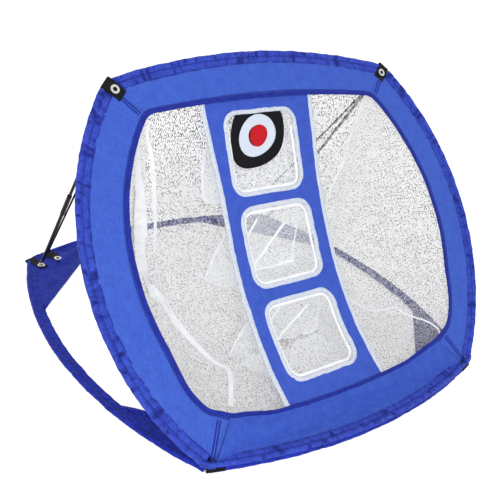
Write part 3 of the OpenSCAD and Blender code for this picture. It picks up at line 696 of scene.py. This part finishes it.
PANEL_RUNS = {
    "right": run(SIDE_C, SIDE_R, 0, SIDE_A),
    "left": run((-SIDE_C.x, SIDE_C.y), SIDE_R, pi, -SIDE_A),
    "top": run(TOP_C, TOP_R, QUARTER, TOP_A),
}
for side, gaps in (("left", (3, 12)), ("right", (3, 12)), ("top", (12, 12))):
    sleeve("front_hoop_sleeve_" + side, sleeve_cloth, "panel_sleeve_" + side, PANEL_RUNS[side],
        gaps, len(side) + 0.5)

# At the low corners the sleeve is drawn round from the front edge into the side.
for side, sign in SIDES:
    low, high = BASE_RUNS["front"], PANEL_RUNS[side]
    low = low(12 / low.length if side == "left" else 1 - 12 / low.length)[0]
    high = high(9 / high.length)[0]
    start, end = ground(low.x, low.y, FOLD_Z), panel(high.x, high.y)
    corner = ground(sign * (HALF_W + 1), -1, 10.5)
    points = [start.lerp(corner, k / 16).lerp(corner.lerp(end, k / 16), k / 16) for k in range(17)]
    elbow = tube("hoop_sleeve_corner_" + side, sleeve_cloth, framed(points, FRONTWARD),
        ring(4.9, 16), ripple=puckers(6 + sign, size=0.5))
    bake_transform(elbow)
    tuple(start)
    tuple(end)

# ---- Front border ----
# Strips of cloth run round the window, joined by slanting seams in the corners. The
# window's edge is turned over into a rolled hem, drawn darker with painted shade.

outer_side = arc_line(SIDE_C, SIDE_R - CLOTH_IN, heading(cloth_low - SIDE_C),
    heading(cloth_top - SIDE_C), 90)
outer_top = arc_line(TOP_C, TOP_R - CLOTH_IN, heading(cloth_top - TOP_C),
    pi - heading(cloth_top - TOP_C), 120)
for side, outer, inner, count in (
    ("left", turned(outer_side), turned(right_edge), 110),
    ("right", outer_side, right_edge, 110),
    ("top", outer_top, whole(half_top), 120),
):
    outer, inner = spaced(outer, count), spaced(inner, count)

    def place(s, t):
        at = outer[round(t * count)].lerp(inner[round(t * count)], s)
        return panel(at.x, at.y, cloth_n(at.x, at.y, fade(s * 4)))

    length = reach_of(outer)[-1] * 0.001
    border = spread("front_border_" + side, border_cloth, 14, count, place, (0.05, length),
        CLOTH_T)
    on_body(border, "panel", "panel_fabric", "border_" + side)


def on_cloth(line, closed=True, lift=0.0, behind=cloth_n):
    """Frames along a line on the front's cloth."""
    points = [panel(p.x, p.y, behind(p.x, p.y)) for p in line]
    return [(point + FRONTWARD * lift * 0.001, across, up)
        for point, across, up in framed(points, FRONTWARD, closed=closed)]


window_edge = whole(half_top) + turned(right_edge)[-2::-1]
window_edge += whole(turned(half_low))[1:] + right_edge[1:]
# The hem is drawn darker than the border, and its two seam lines darker still: painted shade along
# the window's edge.
hem_cloth = blue_polyester("hem_polyester", "#2436a6", "#1a288c", seams=(0.6, 8.4), crease=1.0)
hem = tube("window_hem", hem_cloth, on_cloth(spaced(window_edge, 560), lift=0.6),
    hem_section(7, 2.8), closed=True, ripple=puckers(8.8, size=0.6))
on_body(hem, "panel", "panel_fabric")

# The slanting seams in the corners use the hem's cloth, darkened with painted shade.
bm = bmesh.new()
for sign in (-1, 1):
    for start, end in (((249, 502), (227, 476)), ((255, 3), (229, 50))):
        start, end = Vector((sign * start[0], start[1])), Vector((sign * end[0], end[1]))
        way = (end - start).normalized()
        for shift in (-2.2, 2.2):
            offset = Vector((-way.y, way.x)) * shift
            line = [start.lerp(end, k / 12) + offset for k in range(13)]
            swept(bm, on_cloth(line, closed=False, lift=0.5), hem_section(2.2, 1.4))
on_body(object_from(bm, "corner_seams", hem_cloth), "panel", "panel_fabric")

# ---- Middle strip ----
# A slack strip hangs down the middle of the window, behind the border. White tape binds
# its long edges and its three holes.

STRIP_BACK = 2.3
STRIP_LOW, STRIP_HIGH = 5.5, 524
HOLE_W, HOLE_H, HOLE_R = 129, 117, 20
HOLES = {"bottom": Vector((-13, 120)), "middle": Vector((-14, 266)), "top": Vector((-18, 408))}
CORNER_COUNT, EDGE_COUNT = 6, 24     # points on half a hole's corner and on its edge
SIDE_COUNT = EDGE_COUNT + 2 * CORNER_COUNT


def strip_n(u, v):
    """The strip behind the hoop's plane, with its slack folds."""
    folds = wavy(u / 60, v / 45, 6.6)
    folds += 0.4 * wavy(u / 22, v / 20, 2.2)
    return sag_at(v) + STRIP_BACK + 1.1 * folds * fade((v - 40) / 30) * fade((500 - v) / 30)


def strip_edge(sign, v):
    """Where a long edge is: the cloth spreads towards its upper seam."""
    return STRIP_X + sign * STRIP_HALF + (-13 if sign < 0 else 3) * fade((v - 330) / 190)


def hole_outline(name, larger, rounder):
    """A hole's outline from the middle of its lower left corner round to the right, with
    SIDE_COUNT points on each side."""
    radius = HOLE_R + rounder
    a, b = (HOLE_W + larger) / 2 - radius, (HOLE_H + larger) / 2 - radius
    corners = [HOLES[name] + Vector(c) for c in ((a, -b), (a, b), (-a, b), (-a, -b))]
    points = []
    for k, corner in enumerate(corners):
        out, eighth = (k - 1) * QUARTER, QUARTER / 2
        points += arc_line(corners[k - 1], radius, out - eighth, out, CORNER_COUNT)[:-1]
        first, last = (on_circle(c, radius, out) for c in (corners[k - 1], corner))
        points += [first.lerp(last, j / EDGE_COUNT) for j in range(EDGE_COUNT)]
        points += arc_line(corner, radius, out, out + eighth, CORNER_COUNT)[:-1]
    return points


def hang(piece, slot, *nodes, body="panel", n=8):
    """Soft pieces behind the front ride on a body, each with a mesh of its own."""
    on_body(piece, body, slot, *nodes)
    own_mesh(piece)


strip_cloth = blue_polyester("strip_polyester", "#4564cf", "#3c58c3", crease=0.8)
bm = bmesh.new()
bounds_v = [STRIP_LOW, 193, 337, STRIP_HIGH]
for name, low, high in zip(HOLES, bounds_v, bounds_v[1:]):
    inner = hole_outline(name, 0, 0)
    ends = [Vector(e) for e in ((-1, low), (1, low), (1, high), (-1, high), (-1, low))]
    outer = []
    for start, end in zip(ends, ends[1:]):
        for j in range(SIDE_COUNT):
            across, v = start.lerp(end, j / SIDE_COUNT)
            left, right = strip_edge(-1, v), strip_edge(1, v)
            outer.append(Vector(((left + right) / 2 + across * (right - left) / 2, v)))
    count = len(outer)

    def place(s, t):
        j = round(t * count) % count
        at = inner[j].lerp(outer[j], s)
        return panel(at.x, at.y, strip_n(at.x, at.y))

    laid(bm, 10, count, place, (0.04, 0.6))
bmesh.ops.remove_doubles(bm, verts=bm.verts, dist=2e-6)
strip = object_from(bm, "middle_strip", strip_cloth, CLOTH_T)
hang(strip, "strip_fabric", "centre_strip")

# White woven tape folded over the edge: matt, with a cross rib of 1 mm and uneven where
# the thread draws it in; its tucks are drawn blue-grey with painted shade.
where, shader, white_tape = surface("white_binding_tape", 0.75, Specular_IOR_Level=0.15)
tucks_and_shade = clouds(where["Object"], 95, Detail=3.0, Roughness=0.6)
tucked = relief(tucks_and_shade, 0.7, 0.003)
feed(shader, Base_Color=mixed(ranged(tucks_and_shade, 0.34, 0.6), "#cad6ee", "#f2f6fe"),
    Normal=relief(ribs_of(where["UV"], "Y", 1.0), 0.4, 0.0003, tucked))

for side, sign in SIDES:
    heights = [STRIP_LOW + 4 + 513 * k / 170 for k in range(171)]
    line = [Vector((strip_edge(sign, v) - sign * 2.5, v)) for v in heights]
    tape = tube("strip_tape_" + side, white_tape, on_cloth(line, closed=False, behind=strip_n),
        hem_section(8, 3.2), ripple=puckers(5 + sign))
    hang(tape, "white_tape", "strip_binding_" + side)
for name, middle in HOLES.items():
    line = hole_outline(name, 4, 2)
    tape = tube("hole_tape_" + name, white_tape, on_cloth(line + line[:1], behind=strip_n),
        hem_section(7, 3.2), closed=True, ripple=puckers(middle.y / 50))
    hang(tape, "white_tape", "hole_binding_" + name)

# ---- Net bag ----
# A bag of knitted white net hangs from the window's edge nearly to the ground, with folds
# below its top corners.


def netting(name, open_share, light, shade, painted_glow=0.0):
    """Matt net with small holes in slanting rows, a little uneven, 2 mm apart and drawn at
    2.4 mm so that they show. Its loops are painted in tones between shade and light, and a
    faint white glow is painted light for what comes through it."""
    where, shader, material = surface(name, 0.9, Specular_IOR_Level=0.1,
        Emission_Color="#ffffff", Emission_Strength=painted_glow)
    slanted = add(shader, "Mapping", Vector=where["UV"], Rotation=(0, 0, QUARTER / 2),
        Scale=(1000 / 2.4,) * 3)
    cells = add(shader, "TexVoronoi", {"voronoi_dimensions": "2D"}, Vector=slanted,
        Scale=1.0, Randomness=0.6)
    # Each loop of the knit catches the light in its own way: painted light and shade per loop.
    loop = add(shader, "SeparateXYZ", Vector=cells.outputs["Color"])
    feed(shader, Base_Color=mixed(loop, shade, light),
        Alpha=maths("GREATER_THAN", cells, sqrt(open_share / pi)))
    return material


# Its loops run from near white down to dark painted shade.
bag_net = netting("knitted_bag_net", 0.45, "#fbfaf9", "#343130")
BAG_LAP, BAG_RIM_N, BAG_FLOOR = 8, 0.9, -FOLD_Z - 16
BAG_ROWS = 90
bag_edge = [p + (p - Vector((0, PANEL_H / 2))).normalized() * BAG_LAP for p in right_edge[::-1]]
bag_edge = spaced(bag_edge, BAG_ROWS)


def side_view(a, b):
    """Back and up turned to up the front and behind it, or the other way round."""
    return Vector((a * cos(LEAN) + b * sin(LEAN), a * sin(LEAN) - b * cos(LEAN)))


def curve(p, t):
    r = 1 - t
    return p[0] * r ** 3 + p[1] * 3 * t * r ** 2 + p[2] * 3 * t * t * r + p[3] * t ** 3


bag_top = side_view(bag_edge[0].y, 5.1 + sag_at(bag_edge[0].y))
bag_low = side_view(bag_edge[-1].y, 5.1 + sag_at(bag_edge[-1].y))
BAG_SIDE = [side_view(*at) for at in (bag_top, (bag_top.x + 44, BAG_FLOOR),
    (bag_top.x - 130, BAG_FLOOR), bag_low)]
BAG_RISE = WIN_TOP_C.y + WIN_TOP_R + BAG_LAP - bag_edge[0].y
BAG_FOLDS = ((0.215, 0.012, 9), (0.262, 0.016, 8), (0.31, 0.02, 5), (0.7, 0.014, 6),
    (0.76, 0.02, 6))     # place across, width and depth


def quarters(s):
    """Side -1 or 1 and share from the rim, or 0 and -1 to 1 across the back."""
    if 0.25 <= s <= 0.75:
        return 0, (s - 0.5) / 0.25
    return (-1, s / 0.25) if s < 0.5 else (1, (1 - s) / 0.25)


def bag_place(s, t):
    """From the left rim over the back to the right one, and from top to bottom."""
    j = min(BAG_ROWS - 1, int(t * BAG_ROWS))
    rim = bag_edge[j].lerp(bag_edge[j + 1], t * BAG_ROWS - j)
    half = bag_edge[0].x - 14 - 22 * sin(pi * t)
    back = curve(BAG_SIDE, t)
    sign, w = quarters(s)
    if sign:
        rim_n = BAG_RIM_N + max(sag(rim.x, rim.y), sag(-rim.x, rim.y))
        u = sign * (rim.x + (half - rim.x) * w)
        v = rim.y + (back.x - rim.y) * w
        n = rim_n + (back.y - rim_n) * sin(QUARTER * w)
    else:
        rise = BAG_RISE * (1 - t) ** 2 - (EDGE_BOW + 14) * fade((t - 0.8) / 0.2)
        u, v, n = half * w, back.x + rise * (1 - w * w), back.y
    loose = sin(pi * min(1, max(0, t))) * min(1, 4 * s, 4 * (1 - s))
    for at, width, depth in BAG_FOLDS:
        off = (s - at - 0.01 * sin(5 * t + 9 * at)) / width
        n -= depth * loose * exp(-off ** 2)
    n += 3.0 * loose * wavy(u / 55, v / 90, 3.3)
    return panel(u, v, max(n, 0.6))


bag = spread("hanging_net", bag_net, 180, BAG_ROWS, bag_place, (0.92, 0.62))
hang(bag, "white_net", "net_bag")


def smooth_line(marks, count):
    """A smooth line (s, t) on the bag through marks in thousandths."""
    padded = [Vector((s / 1000, t / 1000)) for s, t in (marks[0], *marks, marks[-1])]
    line = []
    for k in range(count + 1):
        x = (len(marks) - 1) * k / count
        j = min(int(x), len(marks) - 2)
        f = x - j
        p0, p1, p2, p3 = padded[j:j + 4]
        line.append(0.5 * (2 * p1 + (p2 - p0) * f + (2 * p0 - 5 * p1 + 4 * p2 - p3) * f ** 2
            + (3 * p1 - p0 - 3 * p2 + p3) * f ** 3))
    return line


def along_net(marks, count, lift):
    """Frames along a line on the bag, lifted towards the window."""
    line = smooth_line(marks, count)
    points = [bag_place(m.x, m.y) for m in line]
    frames = []
    for k, m in enumerate(line):
        way = (points[min(k + 1, count)] - points[max(k - 1, 0)]).normalized()
        across = bag_place(m.x + 0.01, m.y) - bag_place(m.x - 0.01, m.y)
        down = bag_place(m.x, min(1, m.y + 0.01)) - bag_place(m.x, max(0, m.y - 0.01))
        face = across.cross(down).normalized()
        if face.dot(FRONTWARD) < 0:
            face.negate()
        frames.append((points[k] + face * lift * 0.001, way.cross(face).normalized(), face))
    return frames


# In the bag's seams and in the tucks below its top corners the net lies double, so it
# looks whiter; a faint painted glow lightens it further. Each line has its widths in mm
# and its marks across and down the bag, in thousandths.
double_net = netting("doubled_net", 0.15, "#ffffff", "#dfe2e6", painted_glow=0.16)
SEAMS = (
    ((6, 14, 24, 16, 10, 9, 8),
     ((72, 20), (110, 45), (161, 83), (205, 125), (211, 200), (200, 267), (216, 325), (256, 383),
      (278, 467), (300, 583), (317, 683), (333, 742), (310, 830), (278, 925))),
    ((5, 8, 8, 4), ((228, 17), (255, 50), (266, 125), (267, 192), (262, 250))),
    ((3, 5, 6, 4), ((817, 8), (806, 50), (767, 83), (756, 117), (744, 150), (733, 183),
      (728, 200))),
    ((2, 3, 2), ((800, 12), (760, 35), (722, 58), (694, 100))),
    ((2, 4, 2), ((810, 20), (770, 55), (730, 100), (700, 150))),
    ((3, 3, 3), ((728, 200), (720, 280), (715, 400), (730, 530), (756, 625), (794, 708),
      (850, 750), (867, 808), (930, 900), (961, 958))),
)
SEAM_W = 12     # width of the swept section before each place's own width
bm = bmesh.new()
for widths, marks in SEAMS:
    frames = along_net(marks, 12 * len(marks), 2.2)
    length = reach_of([f[0] for f in frames])[-1] * 1000

    def seam_width(at, a, b):
        x = min(at / length, 0.9999) * (len(widths) - 1)
        width = widths[int(x)] + (widths[int(x) + 1] - widths[int(x)]) * fade(x % 1)
        return a * width / SEAM_W + 0.8 * wavy(at / 9, width, 0), b

    swept(bm, frames, hem_section(SEAM_W, 0.9), ripple=seam_width)
hang(object_from(bm, "net_seams", double_net), "white_net")

# ---- Net pockets ----
# A pocket of the same net hangs from each hole's tape, doubled at its lower seam.

# Painted light: the pocket's net is drawn paler than the bag's and glows faintly.
pocket_net = netting("knitted_pocket_net", 0.56, "#ffffff", "#b9bec4", painted_glow=0.25)
POCKET_ROWS, POCKET_HALF = 44, 92
POCKET_TURN = 28 / POCKET_ROWS     # where the lower seam is, between the two rims
# Each pocket's lower seam, back from the fold line and up, how far its back bulges, and
# its area in m2. The top one leaves the flap room to swing.
POCKETS = {"top": ((286, 222), 27, 0.036), "middle": ((268, 90), 9, 0.056),
    "bottom": ((178, 1), 9, 0.052)}


def pocket_shape(middle, seam, bulge):
    half_w, half_h = HOLE_W / 2 + 3, HOLE_H / 2 + 3
    seam = Vector(seam)

    def rim(t):
        y = middle.y + half_h * cos(pi * t)
        return Vector((half_w * (1 - 0.25 * abs(cos(pi * t)) ** 6), y,
            STRIP_BACK + 2.2 + sag_at(y)))

    top, low = side_view(*rim(0).yz), side_view(*rim(1).yz)

    def place(s, t):
        # The back goes from the hole's upper edge down to the seam, then up to the hole.
        if t <= POCKET_TURN:
            k = t / POCKET_TURN
            at = top.lerp(seam, k) + Vector((bulge, -4)) * sin(pi * k) ** 0.6
        else:
            k = 1 - (t - POCKET_TURN) / (1 - POCKET_TURN)
            at = low.lerp(seam, k) + Vector((0, -7)) * sin(pi * k)
        edge, back = rim(t), side_view(*at)
        half = edge.x - 6 + (POCKET_HALF + 6 - edge.x) * k ** 0.8
        sign, w = quarters(s)
        if sign:
            u = sign * (edge.x + (half - edge.x) * w)
            y, n = edge.yz.lerp(back, w)
        else:
            u, y, n = half * w, back.x, back.y
        loose = sin(pi * t) * min(1, 4 * s, 4 * (1 - s))
        n += 3.0 * loose * (wavy(u / 14, y / 70, middle.y) + wavy(u / 50, y / 40, middle.y))
        return panel(middle.x + u, y, n)
    return place


# The lower seam stands out as a narrow rib, and tucks run up from it.
RIBS = [[(0.25 + 0.5 * k / 30, POCKET_TURN) for k in range(31)]]
RIBS += [[(s + slope * k / 20, t + (POCKET_TURN - t) * k / 20) for k in range(t == 0, 21)]
    for s, slope, t in ((0.42, 0, 0.12), (0.66, -0.16, 0.2), (0.25, 0, 0), (0.75, 0, 0))]
for name, middle in HOLES.items():
    seam, bulge, area = POCKETS[name]
    place = pocket_shape(middle, seam, bulge)
    pocket = spread("catching_pocket_" + name, pocket_net, 72, POCKET_ROWS, place, (0.3, 0.25))
    hang(pocket, "white_net", "pocket_" + name)
    bm = bmesh.new()
    for marks in RIBS:
        points = [place(s, t) + FRONTWARD * 0.0012 for s, t in marks]
        swept(bm, framed(points, FRONTWARD), hem_section(4.5, 1.2),
            ripple=puckers(middle.y / 30, size=0.5))
    hang(object_from(bm, "pocket_seams_" + name, double_net), "white_net")
    # The net's turned edge shows inside the tape; in the top hole the flap hangs before it.
    line, closed = hole_outline(name, -8, -4), name != "top"
    line = line + line[:1] if closed else line[3 * SIDE_COUNT + 4:] + line[:2 * SIDE_COUNT - 6]
    lining = tube("pocket_rim_" + name, double_net,
        on_cloth(line, closed=closed, lift=-3.4, behind=strip_n),
        hem_section(4.5, 1.2), closed=closed, ripple=puckers(middle.y / 40, size=0.7))
    hang(lining, "white_net")

# ---- Target ----
# A black flap with a printed white ring and red spot hangs in the top hole from its upper
# edge, and swings back when a ball hits it.

PATCH_TILT = radians(26)
PATCH_V = HOLES["top"].y + HOLE_H / 2 + 1
PATCH_N = STRIP_BACK + 1.5 + 0.6 + sag_at(PATCH_V)
PATCH_X, PATCH_DROP, PATCH_D, WHITE_D, SPOT_D = STRIP_X - 7, 34, 108, 70, 34
patch_down = -UPWARD * cos(PATCH_TILT) - FRONTWARD * sin(PATCH_TILT)
patch_front = FRONTWARD * cos(PATCH_TILT) - UPWARD * sin(PATCH_TILT)


def on_patch(x, down, out):
    """A point of the flap, from mm across, down from its seam and in front of it."""
    curl = 3.0 * wavy(x / 40, down / 40, 7.7) * fade(down / 25)
    return (panel(PATCH_X + x, PATCH_V, PATCH_N)
        + (patch_down * down + patch_front * (out + curl)) * 0.001)


def disc(name, slot, node, material, outside, inside, front, thick, low, wide, tall, n,
        shift=0, full=1.0):
    """A ring or disc of the flap, cut off at the seam and a little uneven. n is not used. It
    flattens towards its own place n behind the front, so that no layer sinks into the next."""
    def uneven(radius, a):
        return radius * (1 + 0.035 * sin(2 * a + radius) + 0.025 * sin(3 * a + 2 * radius))

    def swollen(x):
        return copysign(abs(x) ** full, x)

    def place(s, t):
        a = 2 * pi * t
        r = uneven(inside, a) + (uneven(outside, a) - uneven(inside, a)) * s
        down = PATCH_DROP + low + tall * r * swollen(sin(a))
        return on_patch(shift + wide * r * swollen(cos(a)), max(0.0, down), front)
    bm = laid(bmesh.new(), 12, 96, place, ((outside - inside) * 0.001, 0.2))
    bmesh.ops.dissolve_degenerate(bm, dist=1e-6, edges=bm.edges)
    piece = object_from(bm, name, material, thick)
    hang(piece, slot, node, body="target_flap", n=n)
    return piece


def print_ink(name, *colours):
    """Thick screen print on cloth, worn a little by the balls."""
    return grained(name, 0.6, colours, 160, 5.0, (0.3, 0.0003), rough=0.6, spread=(0.35, 0.65),
        Specular_IOR_Level=0.15)


black_cloth = grained("black_target_cloth", 0.8, ("#0d0d10", "#1f1f24"), 420, 3.0, (0.5, 0.0004),
    Specular_IOR_Level=0.12)
flap = disc("target_flap_cloth", "black_cloth", "target_patch", black_cloth, PATCH_D / 2, 0,
    -0.4, 0.0008, 1, 0.97, 0.93, 8.8, full=0.8)
disc("target_ring_print", "white_print", "target_white_ring",
    print_ink("white_print_ink", "#d3deef", "#e9effb"), WHITE_D / 2, SPOT_D / 2, 0.25, 0.0003,
    2.5, 1.04, 0.92, 8.15)
disc("target_spot_print", "red_print", "target_red_spot",
    print_ink("red_print_ink", "#b9151f", "#dc1f2a"), SPOT_D / 2, 0, 0.6, 0.0003,
    2.5, 1.05, 0.97, 7.8, shift=3)

# ---- Webbing tabs, straps and eyelets ----
# Black webbing goes round the wire at a corner, its ends sewn together on the cloth with
# an eyelet through both.

# Polypropylene webbing: 1.5 mm cords side by side under the weave, slightly shiny.
where, shader, webbing = surface("black_webbing", 0.6, Specular_IOR_Level=0.15)
weave = maths("MULTIPLY", ribs_of(where["UV"], "X", 1.5), ribs_of(where["UV"], "Y", 1.2))
feed(shader, Base_Color=mixed(weave, "#09090b", "#1c1c20"), Normal=relief(weave, 0.6, 0.0005))
WEBBING_W, WEBBING_T = 20, 0.9


def strap(name, body, width, points, across, node):
    """Webbing along points: flat, with rounded selvedges."""
    half, r = width / 2, WEBBING_T / 2
    upper = [(half, 0)] + [(half - r - (width - 2 * r) * k / 6, r) for k in range(7)]
    section = upper + [(-a, -b) for a, b in upper]
    piece = tube(name, webbing, framed(points, across=across), section)
    on_body(piece, body, "black_webbing", node)


def tab(name, body, centre, inward, up, length, width, node):
    """Webbing from its upper end round the wire to its lower end."""
    middle, close = WIRE_LOOP - WEBBING_T / 2, TAB_END - WEBBING_T / 2
    profile = [(length * (1 - k / 8), close + (middle - close) * k / 8) for k in range(8)]
    profile += [(middle * cos(a), middle * sin(a))
        for a in (QUARTER + pi * k / 12 for k in range(13))]
    profile += [(x, -y) for x, y in reversed(profile[:8])]
    points = [centre + (inward * x + up * y) * 0.001 for x, y in profile]
    strap(name, body, width, points, inward.cross(up), node)


base_heading = -QUARTER - asin(14.5 * cos(radians(45)) / 30)
for side, sign in SIDES:
    inward = (Vector((-sign, 0, 0)) - UPWARD).normalized()
    tab("corner_tab_top_" + side, "panel", panel(sign * HALF_W, PANEL_H), inward, FRONTWARD,
        29, WEBBING_W, "top_tab_" + side)
    inward = Vector((sign * cos(base_heading), sin(base_heading), 0))
    tab("corner_tab_base_" + side, "base", ground(sign * HALF_W, BASE_D, WIRE_Z), inward, Z,
        39, 17, "base_tab_" + side)
    inward = Vector((-sign * sin(SPARE_TURN), -cos(SPARE_TURN), 0))
    tab("spare_peg_tab_" + side, "base", ground(sign * SPARE_WIRE[0], SPARE_WIRE[1], WIRE_Z),
        inward, Z, 41, WEBBING_W, "spare_tab_" + side)
    # A turn of webbing binds the end of the base's front sleeve at the corner.
    edge = BASE_RUNS["front"]
    start, end = (0.5, 26) if side == "left" else (edge.length - 0.5, edge.length - 26)
    binding = tube("corner_binding_" + side, webbing, run_frames(edge, start, end, 12, 3.4),
        [(1.25 * a, 0.82 * b) for a, b in ring(4.1, 20)])
    on_body(binding, "base", "black_webbing")
    # Hinge strap: a loop round the front wire's inturned end, its tail sewn to the gusset.
    middle = 1.6 + 0.08 + WEBBING_T / 2
    profile = [(26 - 18 * k / 6, -5.85) for k in range(7)] + [(5.2, -4.6), (3.1, -2.2)]
    profile += [(middle * cos(a), middle * sin(a)) for a in (pi * 1.8 * k / 14 for k in range(15))]
    strap("fold_strap_" + side, "base", 14,
        [ground(sign * 255, y, FOLD_Z + z) for y, z in profile], X, "hinge_strap_" + side)

# Brass with bright nickel plate, a little scuffed.
finish(grained("nickel_plate", 0.16, "#d8d6d0", 700, 4.0, (0.15, 0.0001),
    wear=(0.35, 0.7, 0.12, 0.32), Metallic=1.0), *(f"{part}_{side}" for side, _ in SIDES
    for part in ("base_eyelet", "spare_eyelet", "top_eyelet", "rod_tips")))

# ---- Support rods ----
# Two glass fibre sections joined by a ferrule, with a ball foot in the base's eyelet and
# a pin in the front's.

# Smooth black lacquer with a faint lengthwise drawn texture.
finish(grained("black_rod_lacquer", 0.42, ("#060607", "#141416"), (900, 900, 60), 3.0,
    (0.2, 0.0001), Specular_IOR_Level=0.2),
    "rod_lower_left", "rod_upper_left", "rod_lower_right", "rod_upper_right")
# Anodised aluminium, dark grey and half matt.
finish(grained("anodised_ferrule", 0.38, "#1c1c20", 800, 2.0, (0.2, 0.0001), Metallic=0.9),
    "rod_ferrule_left", "rod_ferrule_right")
